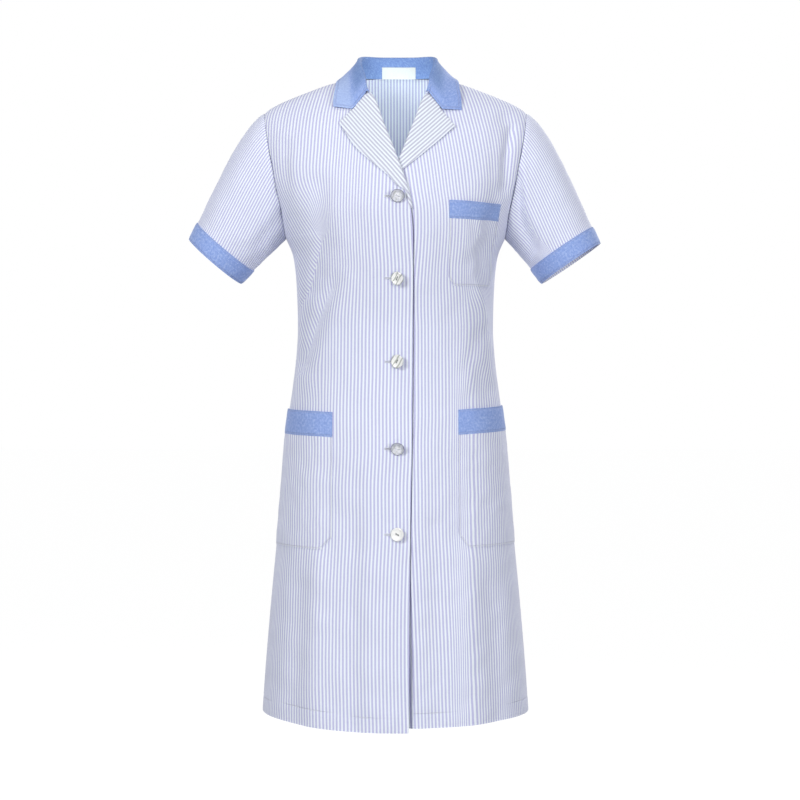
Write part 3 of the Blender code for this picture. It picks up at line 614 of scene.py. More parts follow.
class Kit:
    """A material, with short ways of wiring its nodes."""

    def __init__(self, name, shown, **constants):
        self.mat = bpy.data.materials.new(name)
        self.mat.use_nodes = True
        self.mat.diffuse_color = shown
        self.shader = self.mat.node_tree.nodes["Principled BSDF"]
        for key, value in constants.items():
            self.feed(self.shader.inputs[key.replace("_", " ")], value)

    def feed(self, slot, value):
        if isinstance(value, Wire):
            self.mat.node_tree.links.new(value.socket, slot)
        else:
            slot.default_value = value

    def node(self, kind, inputs, output=0, **settings):
        node = self.mat.node_tree.nodes.new("ShaderNode" + kind)
        for key, value in settings.items():
            setattr(node, key, value)
        for key, value in inputs.items():
            self.feed(node.inputs[key], value)
        return Wire(self, node.outputs[output])

    def math(self, operation, *numbers):
        return self.node("Math", dict(enumerate(numbers)), operation=operation)

    def between(self, value, low, high, to_low=0.0, to_high=1.0):
        """Eases from to_low to to_high while the value goes from low to high."""
        return self.node("MapRange", {"Value": value, "From Min": low, "From Max": high,
                                      "To Min": to_low, "To Max": to_high},
                         interpolation_type="SMOOTHSTEP")

    def mix(self, share, a, b, blend="MIX"):
        return self.node("Mix", {0: share, 6: a, 7: b}, 2, data_type="RGBA", blend_type=blend)

    def tint(self, share, colour, by):
        return self.mix(share, colour, by, "MULTIPLY")

    def grain(self, place, x, y, detail=2.0, rough=0.5, z=1.0):
        """Noise with x, y and z grains to the metre along the three axes."""
        vector = self.node("VectorMath", {0: place, 1: (x, y, z)}, operation="MULTIPLY")
        return self.node("TexNoise", {"Vector": vector, "Scale": 1.0, "Detail": detail,
                                      "Roughness": rough}, "Fac")

    def on_cloth(self):
        return self.node("UVMap", {}, "UV", uv_map="Cloth")

    def mark(self, name):
        return self.node("Attribute", {}, "Fac", attribute_name=name)

    def bump(self, height, strength, distance, **under):
        return self.node("Bump", {"Strength": strength, "Distance": distance,
                                  "Height": height, **under})

    def finish(self, colour, normal):
        self.feed(self.shader.inputs["Base Color"], colour)
        self.feed(self.shader.inputs["Normal"], normal)
        return self.mat


def cloth_kit(name, shown, rough, sheen):
    return Kit(name, shown, Roughness=rough, Sheen_Weight=sheen, Sheen_Roughness=0.45,
               Specular_IOR_Level=0.25)


def stitched(kit, colour, weave, strength, thread):
    """Darkens the line of each row of stitches with painted shade and sinks it, lays thread in it
    and ends the material, with the weave as its finest bumps."""
    off = abs(kit.mark("stitch"))
    row = kit.between(off, 0.25, 0.55, 1.0, 0.0)
    along = kit.math("FRACT", kit.mark("along") * (1 / STITCH))
    dash = kit.between(along, 0.08, 0.2) * kit.between(along, 0.8, 0.92, 1, 0)
    firm = 1.0 - kit.mark("faint")
    dip = kit.between(off, 0.4, 1.5, 1.0, 0.0) * firm
    laid = row * dash * firm
    # Painted shade: the cloth darkens in the dip beside each row of stitches.
    shade = kit.mix(dip * 0.18, colour, (0.20, 0.23, 0.36, 1))
    fine = kit.bump(weave, strength, 0.0003)
    return kit.finish(kit.mix(laid, shade, thread),
                      kit.bump(laid * 0.5 - dip, 0.8, 0.0005, Normal=fine))


def striped_cloth():
    kit = cloth_kit("striped_cloth", (0.74, 0.77, 0.93, 1), 0.86, 0.18)
    place = kit.on_cloth()
    ragged = (kit.grain(place, 2600, 900, 1.0) - 0.5) * 0.10
    beyond = kit.mark("dart") / ((kit.mark("dart_soft") + 0.05) * 2.0)
    taken = kit.between(beyond + 0.5, 0.0, 1.0) * kit.mark("dart_shift")
    turn = kit.node("SeparateXYZ", {0: place}, "X") * (1000 / STRIPE) + ragged
    part = kit.math("FRACT", turn + taken * (1 / STRIPE))
    blue = kit.between(abs(part - 0.5), 0.235, 0.275, 1.0, 0.0)
    yarn = kit.grain(place, 3800, 420, 2.0, 0.6)
    weft = kit.grain(place, 260, 3200, 2.0, 0.6)
    tone = kit.mix(kit.between(yarn, 0.3, 0.7), STRIPE_DEEP, STRIPE_PALE)
    tone = kit.tint(kit.mark("grey"), tone, (1.0, 1.02, 0.86, 1))
    white = kit.mix(kit.between(weft, 0.25, 0.75), WHITE_WARM, WHITE_COOL)
    uneven = kit.between(kit.grain(place, 14, 9, 3.0), 0.35, 0.75) * 0.05
    colour = kit.tint(uneven, kit.mix(blue, white, tone), (0.62, 0.64, 0.74, 1))
    weave = yarn * 0.5 + weft * 0.5 - blue * 0.12
    return stitched(kit, colour, weave, 0.35, (0.80, 0.82, 0.88, 1))


def plain_cloth():
    kit = cloth_kit("plain_blue_cloth", (0.29, 0.39, 0.78, 1), 0.82, 0.25)
    place = kit.on_cloth()
    weave = kit.grain(place, 3400, 240, 3.0, 0.65) * 0.5 + kit.grain(place, 240, 3400, 3.0, 0.65) * 0.5
    colour = kit.mix(kit.between(weave, 0.34, 0.66), PLAIN_DEEP, PLAIN_PALE)
    fleck = kit.grain(place, 340, 270, 4.0, 0.7)
    colour = kit.mix(kit.between(fleck, 0.46, 0.70) * 0.50, colour, (0.54, 0.66, 0.91, 1))
    colour = kit.mix(kit.between(fleck, 0.54, 0.32) * 0.30, colour, (0.12, 0.20, 0.52, 1))
    slub = kit.between(kit.grain(place, 900, 60), 0.58, 0.8)
    colour = kit.mix(slub * 0.30, colour, (0.50, 0.60, 0.90, 1))
    cloudy = kit.between(kit.grain(place, 26, 22, 3.0), 0.35, 0.7)
    colour = kit.tint(cloudy * 0.12, colour, (0.55, 0.62, 0.86, 1))
    # The pale mark paints light and shade: where it is above 0 the cloth is lightened as painted
    # light, where it is below 0 it is darkened as painted shade.
    pale = kit.mark("pale")
    colour = kit.mix(kit.math("MAXIMUM", pale, 0.0), colour, (0.58, 0.70, 0.92, 1))
    deep = kit.math("MAXIMUM", pale * -1.0, 0.0)
    colour = kit.tint(deep, colour, (0.60, 0.71, 0.77, 1))
    return stitched(kit, colour, weave, 0.45, (0.34, 0.44, 0.80, 1))


def pearl(name, deep, pale, band=0.0, rim=0.15, glow=0.0):
    """Pearly plastic; band, rim and glow are how strongly the painted reflection in slanting bands,
    the painted shade at the rim and the painted highlight in the middle show."""
    kit = Kit(name, (0.82, 0.83, 0.84, 1), Roughness=0.22, Specular_IOR_Level=0.5,
              Coat_Weight=0.4, Coat_Roughness=0.08)
    place = kit.node("TexCoord", {}, "Object")
    swirl = kit.grain(place, 260, 90, 3.0, 0.6, 260)
    warm = kit.grain(place, 90, 170, z=60)
    colour = kit.mix(kit.between(swirl, 0.32, 0.68), deep, pale)
    colour = kit.mix(kit.between(warm, 0.45, 0.75) * 0.25, colour, (0.84, 0.80, 0.78, 1))
    x, z = (kit.node("SeparateXYZ", {0: place}, axis) for axis in "XZ")
    # Painted reflection: darker slanting bands between lighter ones.
    slant = kit.math("FRACT", x * 145.0 + z * -83.0 + warm * 0.5)
    painted_reflection_bands = kit.between(abs(slant - 0.5), 0.10, 0.20, 1, 0)
    colour = kit.mix(painted_reflection_bands * band, colour, (0.40, 0.43, 0.38, 1))
    # Painted shade at the rim.
    colour = kit.mix(kit.mark("rim") * rim, colour, (0.16, 0.17, 0.26, 1))
    # Painted highlight in the middle.
    colour = kit.mix(kit.mark("middle") * glow, colour, (0.97, 0.98, 1.0, 1))
    return kit.finish(colour, kit.bump(swirl, 0.15, 0.0003))


def thread_material(name, deep, pale):
    kit = cloth_kit(name, pale, 0.7, 0.3)
    ply = kit.grain(kit.node("TexCoord", {}, "Object"), 1800, 1800, z=4200)
    return kit.finish(kit.mix(kit.between(ply, 0.3, 0.7), deep, pale), kit.bump(ply, 0.6, 0.0002))


def label_material():
    kit = cloth_kit("label_tape", (0.88, 0.89, 0.88, 1), 0.6, 0.2)
    rib = kit.grain(kit.on_cloth(), 300, 3800)
    colour = kit.mix(kit.between(rib, 0.3, 0.7), (0.63, 0.67, 0.66, 1), (0.72, 0.76, 0.75, 1))
    return kit.finish(colour, kit.bump(rib, 0.4, 0.0002))


CLOTHS = {"stripe": striped_cloth(), "plain_blue": plain_cloth(), "label": label_material()}
# All three paint shade at the rim. The second adds painted reflection in slanting bands; the third is
# a darker, shaded copy of the pearl with a painted highlight in its middle.
PEARLS = (
    pearl("pearl_white", (0.84, 0.85, 0.84, 1), (0.93, 0.93, 0.91, 1)),
    pearl("pearl_painted_reflection", (0.90, 0.91, 0.89, 1), (0.97, 0.97, 0.95, 1), 0.85, 0.30),
    pearl("pearl_painted_shade_and_highlight", (0.52, 0.54, 0.62, 1), (0.78, 0.80, 0.87, 1), 0.45, 0.80, 0.85),
)
THREAD = thread_material("thread", (0.60, 0.63, 0.76, 1), (0.86, 0.87, 0.90, 1))
GREY_THREAD = thread_material("grey_thread", (0.22, 0.24, 0.24, 1), (0.42, 0.44, 0.43, 1))

# ---------------------------------------------------------------- fronts and back


def front_push(kind, points):
    """How far each point of a front stands off its plain form."""
    x, y, z = parts(points)
    flat = ease(-y, 6, 40)
    low = ease(-z, 420, 900)
    seed = DRIFT_SEED[kind]
    push = fold_depth(x, z, FOLDS[kind]) * flat + fold_depth(x, z, CREASES[kind]) * ease(-y, 2, 20)
    push = push + drift(x, z, seed, 70) * (0.45 + 0.5 * low) * flat
    push = push + drift(x, z * 0.45, seed + 2, 42) * (0.16 + 0.14 * low) * flat
    if kind == "over":
        near = fade(x, LAP_FROM, LAP_TO)
        crossing = bell(z + 134, 32) * fade(x, 5, 40)
        return push + near * LAP_LIFT * ease(-z, 60, 110) + crossing * LAPEL_LIFT
    # The under front hangs back at the hem and sinks beside the lap's edge.
    push = push - 3.0 * fade(x, 20, 90) * ease(-z, 600, 930)
    beside = x + curve(z, EDGE["over"])
    open_at = ease(-z, 690, 900)
    sunk = fade(beside, -0.3, 2.3 + 7 * open_at) * ease(beside, -14, -6)
    return push - (GROOVE + GROOVE_AT_HEM * open_at) * sunk * ease(-z, 165, 205)


def front_patch(kind, levels, places):
    """Points, normals and distances round the body of part of a front; places gives, for each
    row, where its points lie, counted round the body from the middle."""
    points, arcs = [], []
    for level in levels:
        line, arc = body_row(kind, level)
        arcs.append(places(line, arc))
        points.append(at_arc(line, arc, arcs[-1]))
    points = np.array(points)
    return points, facing(normals_of(points), points * [1, 1, 0]), np.array(arcs)


def slide(kind, points, arcs):
    """How far the stripes are out of line where cloth is taken in, and the marks of one sharper
    shift: the distance past its line, how far it shifts them and how softly."""
    x, _, z = parts(points)
    # Round the side more cloth lies between two places than shows, and some of it is taken in.
    run = np.diff(arcs, axis=1)
    least, start = LEAST, STEEP_FROM[kind]
    if kind == "over":
        by_dart = ease(-z, 150, 190) * fade(-z, 330, 420) * fade(arcs, 165, 200)
        least = LEAST - (LEAST - LEAST_BY_DART) * by_dart[:, 1:]
    shown = np.clip(STEEPEST * np.diff(x, axis=1) / run, least, 1)
    hidden = (1 - shown) * run * ease((x[:, 1:] + x[:, :-1]) / 2, 108, 116)
    steep = np.concatenate([np.zeros((len(x), 1)), np.cumsum(hidden, 1)], 1)
    sway = -steep * ease(-z, start, start + 62) * fade(-z, 470, 560) - curve(z, LEAN, kind)
    for x0, x1, z0, z1, out in zip(*SWAY[kind].values()):
        sway = sway - out * ease(x, x0, x1) * ease(-z, -z0, -z1)
    # The sharper shift is the dart's on one front and the hidden fold's on the other.
    if kind == "over":
        past = arcs - straight(z, DART, "round")
        shift = DART_SLIDE * ramp(-156 - z, 15) * ease(-z, 120, 190) * fade(-z, 352, 356)
        soft = 0.25 + 22 * fade(-z, 205, 246)
        taken = TUCK_SLIDE * np.minimum(ramp(-292 - z, 12), TUCK_MOST)
        by_tuck = ease(arcs - straight(z, TUCK, "round"), -5, 6)
        sway = sway + taken * by_tuck * fade(-z, 466, 480)
    else:
        past = x - straight(z, RIDGE, "across")
        shift = np.clip(RIDGE_CROWD * (x - 112 + (z + 208) * 0.12), 0, RIDGE_MOST)
        ends = 385 + 100 * ease(arcs, 150, 185)
        shift = shift * ease(-z, 170, 225) * fade(-z, 330, ends)
        soft = 0.3
    return sway, {"dart": past, "dart_shift": shift * SIDE[kind], "dart_soft": soft}


def wall(hem, faced=0.0):
    """How thick a hemmed wall is, and how deep its hem's stitches pull it in."""
    doubled = np.maximum(fade(hem, HEM_DEPTH - 1, HEM_DEPTH + 2), faced)
    return CLOTH + (DOUBLE - CLOTH) * doubled, -0.35 * bell(hem - HEM_DEPTH, 1.6)


def build_front(kind):
    def places(line, arc):
        """Closer together at the edge and beside the lap's edge."""
        start = float(np.interp(0, line[:, 0] - curve(line[:, 2], EDGE[kind]), arc))
        run = arc[-1] - start
        beside = line[:, 0] + curve(line[:, 2], EDGE["over"])
        groove = max(float(np.interp(0, beside, arc)) - start, 30.0)
        return start + np.concatenate([
            [0, 0.8, 2.0], np.linspace(4.5, groove - 7, 9), groove + np.linspace(-5, 8, 14),
            np.linspace(groove + 10, run - 1.2, 69), [run],
        ])

    levels = body_levels(3.5, 60)
    points, normals, arcs = front_patch(kind, levels, places)
    below = levels <= ARMPIT
    normals[below, -1, 1] = 0
    normals[-1, :, 1] = 0
    normals = unit(normals)
    x, _, z = parts(points)
    from_edge = runs_of(points, 1)
    pulled = np.where(below, 0.7, 0.4)[:, None] * bell(to_end(points), 2.2)
    push = front_push(kind, points) - pulled
    if kind == "over":
        push = push + 0.9 * bell(from_edge, 8) * ease(-z, 170, 230)
    base = points + normals * push[..., None]
    sway, marks = slide(kind, points, arcs)
    dip = HEM_DIP[kind] * np.cos(np.clip(x / HEM_HALF, -1, 1) * np.pi / 2) ** 2
    hem = z - SIDE_HEM + dip
    thick, dent = wall(hem, fade(from_edge, FACING - 4, FACING))
    worn = 0.35 * np.exp(-from_edge / 0.8) + 0.3 * np.exp(-np.abs(hem) / 0.8)
    sew(FRONT[kind], "stripe", base, normals, worn - thick, dent - worn,
        pair(arcs + sway, z), {"stitch": np.abs(hem - HEM_DEPTH), "along": arcs, **marks},
        SIDE[kind], flat=pair(arcs, z))


def build_back():
    levels = body_levels(4.6, 52)
    half, arcs = [], []
    for level in levels:
        line, arc = body_row("back", level)
        turn = max(0.0, level - ARMPIT)
        neck = float(np.interp(NECK_POINT, line[:, 0], arc))
        stop = neck * turn + arc[-1] * 0.42 * (1 - turn)
        outer = np.linspace(stop, arc[-1] - 1.2, 34)
        arcs.append(np.concatenate([np.linspace(0, stop, 26, endpoint=False), outer, arc[-1:]]))
        half.append(at_arc(line, arc, arcs[-1]))
    half, arcs = np.array(half), np.array(arcs)
    points = np.concatenate([half[:, :0:-1] * [-1, 1, 1], half], 1)
    arcs = np.concatenate([-arcs[:, :0:-1], arcs], 1)
    normals = facing(normals_of(points), points * [1, 1, 0])
    seam = np.zeros(arcs.shape, bool)
    seam[levels <= ARMPIT, 0] = True
    seam[levels <= ARMPIT, -1] = True
    seam[-1] = np.abs(points[-1, :, 0]) >= NECK_POINT - 1
    points[seam, 1] += SEAM / 2
    normals[seam, 1] = 0
    normals = unit(normals)
    x, y, z = parts(points)
    flat = ease(y, 6, 40)
    low = ease(-z, 420, 900)
    push = fold_depth(x, z, FOLDS["back"]) + fold_depth(x, z, CREASES["back"])
    push = push + drift(x, z, 7.7, 80) * (0.6 + 0.8 * low)
    push = push + drift(x, z * 0.5, 9.2, 44) * (0.2 + 0.2 * low)
    push = push * flat - 0.6 * bell(np.minimum(runs_of(points, 1), to_end(points)), 2.2)
    hem = z - SIDE_HEM + 2.0
    thick, dent = wall(hem)
    sew("back", "stripe", points + normals * push[..., None], normals, -thick, dent,
        pair(arcs, z), {"stitch": np.abs(hem - HEM_DEPTH), "along": arcs},
        crowd=BACK_CROWD)


# ---------------------------------------------------------------- sleeves


def sleeve_end(spec, angle):
    up = np.array([spec.up[0], 0, spec.up[1]])
    heading = unit(np.array([spec.side * spec.up[1], spec.turn, -abs(spec.up[0])]))
    fore = unit(np.cross(heading, up) * spec.side)
    fore = fore if fore[1] < 0 else -fore
    ring = np.array(spec.middle) + np.outer(np.cos(angle) * spec.tall, up)
    return ring + np.outer(np.sin(angle) * spec.deep, fore)


def sleeve_lines(spec, angle):
    """Dense lines from the armhole to the open end. They start at the underarm seam, go up the
    back over the shoulder and down the front."""
    loop = np.array([armhole(1 - abs(a) / np.pi, -1 if a >= 0 else 1) for a in angle])
    deep = np.sin(np.abs(angle)) * np.where(angle >= 0, -1, 1)
    tall = np.cos(angle)
    out = unit(np.stack([0.9 * (1 + tall) / 2 + 0.45 * (1 - np.abs(tall)), -deep * 0.25,
                         -0.35 * np.clip(tall, 0, 1) + np.clip(-tall, 0, 1)], 1))
    start = (loop + out * 0.15) * [spec.side, 1, 1]
    ring = sleeve_end(spec, angle)
    share = (1 - tall)[:, None] / 2

    def heading(top, low, side, back):
        top, low = (np.array([way[0] * side, back, way[1]]) for way in (top, low))
        return unit(top * (1 - share) + low * share)

    first = heading(SLEEVE_TOP_START, SLEEVE_LOW_START, spec.side, 0)
    last = heading(spec.top_end, spec.low_end, 1, spec.turn)
    reach = np.linalg.norm(ring - loop * [spec.side, 1, 1], axis=1)[:, None]
    t = np.linspace(0, 1, 161)[:, None, None]
    return (start * (2 * t**3 - 3 * t**2 + 1) + ring * (3 * t**2 - 2 * t**3)
            + first * reach * SLEEVE_FULL * (t**3 - 2 * t**2 + t) + last * reach * (t**3 - t**2))


def rounds(points, axis, angle):
    """Distance round the sleeve from its top line, measured square to the sleeve's own line,
    so that the stripes run straight down the sleeve."""
    axis = unit(np.array(axis))
    along = points @ axis
    flat = points - along[..., None] * axis
    levels = np.linspace(along.min(), along.max(), 160)
    cols = range(points.shape[1])
    ring = [at_arc(flat[:, k], np.maximum.accumulate(along[:, k]), levels) for k in cols]
    step = np.linalg.norm(np.diff(np.stack(ring, 1), axis=1), axis=2)
    step = step * (1 - 0.18 * ease(np.abs(angle[1:] + angle[:-1]) / 2, 1.8, 3.1))
    turn = np.concatenate([np.zeros((len(levels), 1)), np.cumsum(step, 1)], 1)
    turn = turn - turn[:, len(angle) // 2][:, None]
    return np.stack([np.interp(along[:, k], levels, turn[:, k]) for k in cols], 1)


def slack_marks(x, y, z):
    """Stripes out of line past the slack at the wearer's left armhole."""
    past = np.where(y < 0, straight(z, TURN_LINE, "across") - x, -60.0)
    shift = 0.10 * (x - 186) * ease(-z, 135, 165) - 0.42 * np.minimum(z + 142, 0)
    soft = 1.0 + 14 * fade(-z, 128, 160) + 16 * ease(-z, 222, 250)
    return {"dart": past, "dart_shift": shift, "dart_soft": soft}


def build_sleeve(node, spec):
    angle = np.linspace(-np.pi, np.pi, 97)
    share = np.linspace(0, 1, 56)[1:]
    hem = np.linspace(0, CUFF, 9)[1:]
    points, left = [], []
    for line in sleeve_lines(spec, angle).transpose(1, 0, 2):
        run = runs_of(line)
        body = run[-1] - CUFF
        where = np.concatenate([[0, 0.6], body * (0.999 * share + 0.001), body + hem])
        points.append(at_arc(line, run, where))
        left.append(run[-1] - where)
    points = np.stack(points, 1)
    left = np.stack(left, 1)
    normals = facing(normals_of(points), points - points.mean(1, keepdims=True))
    normals[:, [0, -1]] = unit(normals[:, :1] + normals[:, -1:])
    # Folds, waves, a fuller sleeve head, and the pull of the armhole's and underarm's seams
    x, y, z = parts(points * [spec.side, 1, 1])
    push = sum(fold_depth(x, z, rows) * ease(face * y, 4, 22)
               for face, rows in SLEEVE_FOLDS[node].items())
    push = push * ease(left, CUFF - 6, CUFF + 40)
    across = np.broadcast_to(angle * SLEEVE_RADIUS, left.shape)
    push = push + 0.5 * drift(across, (1 - left / left[:1]) * SLEEVE_LENGTH, spec.seed, 58)
    start = runs_of(points)
    push = push + 0.9 * bell(start, 9) * (1 - np.abs(np.sin(angle))) - 0.7 * bell(start, 1.8)
    push = push - 0.4 * bell(np.minimum(runs_of(points, 1), to_end(points)), 2.0)
    base = points + normals * push[..., None]
    turn = rounds(points, spec.axis, angle)
    marks = {"stitch": NO_STITCH, "along": turn}
    if node == "sleeve_left":
        marks.update(slack_marks(x, y, z))
    uv = pair(turn, left)
    thick = CLOTH + 0.5 * fade(left, 18, 22)
    sew(node, "stripe", base, normals, -thick, 0, uv, marks,
        crowd=SLEEVE_CROWD)
    band = slice(-9, None)
    edge = np.minimum(left[band], CUFF - left[band])
    outer = 1.75 + 0.35 * ease(edge, 0, 6) - 0.4 * np.exp(-edge / 0.7)
    sew(node.replace("sleeve", "cuff"), "plain_blue", base[band], normals[band], 0.35, outer,
        uv[band], {"stitch": edge - 2.0, "along": turn[band]})


# ---------------------------------------------------------------- pockets


def pocket_levels(low, high, step):
    if low > ARMPIT:
        return np.linspace(low, high, 9)
    if high <= ARMPIT:
        return np.linspace(low, high, int((high - low) / step) + 1)
    below = np.linspace(low, ARMPIT, int((ARMPIT - low) / step) + 1)
    return np.concatenate([below, np.linspace(ARMPIT, high, int((high - ARMPIT) / 0.02) + 1)[1:]])


def climb(spec, levels, grids, corner):
    """Moves the points of a patch up and down the cloth, so that the mouth climbs towards the
    side while the bottom stays. The grids have as many rows more at both ends."""
    height = grids[0][..., 2]
    more = (len(height) - len(levels)) // 2
    grown = ease(levels, spec.low, spec.band) if corner else np.ones(len(levels))
    lift = spec.rise * np.linspace(0, 1, height.shape[1]) - spec.drop
    aim = height[more:-more] + grown[:, None] * lift
    rows = np.arange(len(height))
    lane = np.arange(height.shape[1])
    at = np.stack([np.interp(aim[:, k], height[:, k], rows) for k in lane], 1)
    low = np.minimum(at.astype(int), len(height) - 2)
    part = (at - low)[..., None]
    grids = [g.reshape(*g.shape[:2], -1) for g in grids]
    return [g[low, lane] * (1 - part) + g[low + 1, lane] * part for g in grids]


def pocket_piece(spec, levels, corner):
    """Part of a front between two levels, with its lower corners cut if asked: the points, the
    normals, the place round and up the body, and the distances to the sides and to the bottom."""
    def places(line, arc):
        z = float(np.interp(spec.inner, arc, line[:, 2]))
        cut = spec.cut[0] * np.clip(1 - (z - spec.low) / spec.cut[1], 0, 1) if corner else 0
        end = arc[-1] - 2.0 if spec.outer is None else spec.outer - cut
        return np.linspace(spec.inner + cut, end, PATCH)

    more = [3, 6, 9] if spec.rise else []
    span = np.concatenate([np.subtract(levels[0], more[::-1]), levels, np.add(levels[-1], more)])
    points, normals, arcs = front_patch(spec.kind, span, places)
    if spec.rise:
        points, normals, arcs = climb(spec, levels, (points, normals, arcs), corner)
        normals, arcs = unit(normals), arcs[..., 0]
    across = runs_of(points, 1)
    base = points + normals * front_push(spec.kind, points)[..., None]
    return base, normals, points, arcs, np.minimum(across, across[:, -1:] - across), runs_of(points)


def build_pocket(node, spec):
    levels = pocket_levels(spec.low, spec.band, 4.5)
    levels = np.unique(np.concatenate([levels, [spec.low + spec.cut[1]]]))
    base, normals, points, arcs, sides, up = pocket_piece(spec, levels, True)
    edge = np.minimum(sides, up)
    z = points[..., 2]
    # It bellies a little, most near the mouth.
    full = 1.1 + 0.7 * drift(arcs, z, spec.seed, 46) + 0.8 * np.exp((up - up[-1:]) / 30)
    belly = full * ease(edge, 0, 28)
    sway, marks = slide(spec.kind, points, arcs)
    place = arcs + sway + spec.shift
    sew(node, "stripe", base, normals, 0.25 + belly, 1.0 + belly - 0.35 * np.exp(-edge / 0.8),
        pair(place, z), {"stitch": edge - 2.2, "along": arcs + z, **marks},
        SIDE[spec.kind], flat=pair(place, up))


def build_band(node, spec):
    levels = pocket_levels(spec.band, spec.mouth, 3.5)
    base, normals, points, arcs, sides, up = pocket_piece(spec, levels, False)
    grow = up / up[-1:]
    z = points[..., 2]
    full = 1.9 + 0.9 * grow + 0.7 * drift(arcs, z, spec.seed, 46) * (1 - grow)
    belly = (full + 0.5 * drift(arcs, z, spec.seed + 1, 60) * grow) * ease(sides, 0, 28)
    ends = np.minimum(up, up[-1:] - up)
    outer = 1.7 + belly - 0.4 * np.exp(-np.minimum(sides, ends) / 0.7)
    sew(node + "_band", "plain_blue", base, normals, 0.3 + belly, outer, pair(arcs, z),
        {"stitch": ends - 2.2, "along": arcs},
        SIDE[spec.kind], flat=pair(arcs, up))


# ---------------------------------------------------------------- lapels and collar


def front_top(x, z, kind):
    """The outside of a front at (across, height), and its normal."""
    def place(u, v):
        return np.stack([u, body_y(u, v, -1), v], -1)

    p = place(x, z)
    n = unit(np.cross(place(x + 1, z) - place(x - 1, z), place(x, z + 1) - place(x, z - 1)))
    n = np.where(n[..., 1:2] > 0, -n, n)
    return p + n * front_push(kind, p)[..., None], n


def across_to(way, line):
    """What is left of each direction square to its line."""
    return unit(way - line * np.sum(way * line, 1, keepdims=True))


def build_lapel(node, spec):
    top = np.array(spec.top)
    outer = np.array(spec.outer)
    end = outer[-1]
    t = np.linspace(0, 1, 76)
    s = np.linspace(0, 1, 26)
    height = top[1] + (end[1] - top[1]) * t
    roll = np.stack([curve(height, EDGE[spec.kind]), height], 1)
    run = runs_of(outer)
    outer = np.stack([smooth(t * run[-1], run, outer[:, k]) for k in (0, 1)], 1)
    flat = roll[:, None] * (1 - s)[:, None] + outer[:, None] * s[:, None]
    tucked = TUCKED * ease(s, 0.0, 0.1) * fade(s, 0.36, 0.5)
    gorge = unit(np.array([top[1] - outer[0, 1], outer[0, 0] - top[0]]))
    flat = flat + fade(t, 0, 0.05)[:, None, None] * tucked[:, None] * gorge
    points, normals = front_top(flat[..., 0], flat[..., 1], spec.kind)
    # It springs off the front most near the roll's top, and its tip lifts a little.
    t = t[:, None]
    spring = 1.9 - 0.6 * t + 1.5 * bell(s, 0.25) * (1 - t) * ease(t, -0.03, 0.14)
    spring = spring + 1.2 * s**2 * (1 - t) ** 2
    spring = spring + 0.35 * drift(flat[..., 0], flat[..., 1], spec.seed, 48) * s
    sheet = points + normals * spring[..., None]
    rim, rim_n = front_top(roll[:, 0], roll[:, 1], spec.kind)
    # The roll: the cloth turns round from behind the front's edge.
    down = np.gradient(roll, axis=0)
    inward = across_to(unit(np.stack([down[:, 1], 0 * height, -down[:, 0]], 1)), rim_n)
    curl = []
    for a in np.radians((150, 125, 100, 80, 60, 40, 20)):
        centre = rim + rim_n * (spring[:, :1] - LAPEL_ROLL)
        curl.append(centre + LAPEL_ROLL * (inward * np.sin(a) + rim_n * np.cos(a)))
    sheet = np.concatenate([np.stack(curl, 1), sheet], 1)
    normals = facing(normals_of(sheet), rim_n[:, None])
    # The stripes are those of the front, turned over about the roll line.
    way = unit(end - top)
    off = flat - top
    turned = top + 2 * (off @ way)[..., None] * way - off
    first = turned[:, :1]
    around = np.array([-5.8, -4.8, -3.9, -3.1, -2.3, -1.5, -0.8])[:, None]
    uv = np.concatenate([first + around * unit(turned[:, 1:2] - first), turned], 1)
    across = runs_of(sheet, 1)
    down = runs_of(sheet)
    edge = np.minimum(across[:, -1:] - across, down)
    thin = 0.45 * np.exp(-edge / 0.7)
    marks = {"stitch": edge - 5.0, "along": across + down, "faint": 0.75, "grey": 1.0}
    sew(node, "stripe", sheet, normals, thin - 0.7, 0.7 - thin, uv, marks,
        SIDE[spec.kind], LAPEL_CROWD)


def collar_sheet(shares, across, drop):
    """Points of half the collar: shares of the way round, then from neck seam to outer edge."""
    base = np.linspace(0, 1, len(COLLAR["nx"]))
    got = {n: smooth(shares, base, COLLAR[n]) for n in COLLAR}
    got["oz"] = got["oz"] - drop * ease(shares, 0.5, 1.0)
    inside = fade(shares, 0.35, 0.6)
    got["nz"] = got["nz"] - 2.5 * inside
    got["ny"] = got["ny"] - 2.2 * inside
    neck, roll, mid, edge = (
        np.stack([got[k + "x"], got[k + "y"], got[k + "z"]], 1) for k in "nrmo"
    )
    run = unit(np.gradient(roll, axis=0))
    rise = across_to(roll - neck, run)
    out = unit(np.cross(rise, run))
    out = np.where(np.sum(out * (mid - roll), 1, keepdims=True) < 0, -out, out)
    # Up the stand, round the roll and down the fall, which is straighter at the tips
    line = [neck + (roll - neck) * k for k in np.linspace(0, 1, 9)]
    for a in np.radians(np.linspace(0, 180, 10)[1:]):
        line.append(roll + ROLL * (out * (1 - np.cos(a)) + rise * np.sin(a)))
    after = line[-1]
    pointed = ease(shares, 0.78, 1.0)[:, None]
    for k in across:
        middle = 2 * mid - 0.5 * (after + edge)
        bent = after * (1 - k) ** 2 + edge * k**2 + 2 * k * (1 - k) * middle
        if k < 0.5:
            level = after * (1 - 2 * k) + mid * 2 * k
        else:
            level = mid * (2 - 2 * k) + edge * (2 * k - 1)
        line.append(bent * (1 - pointed) + level * pointed)
    return np.stack(line, 1)


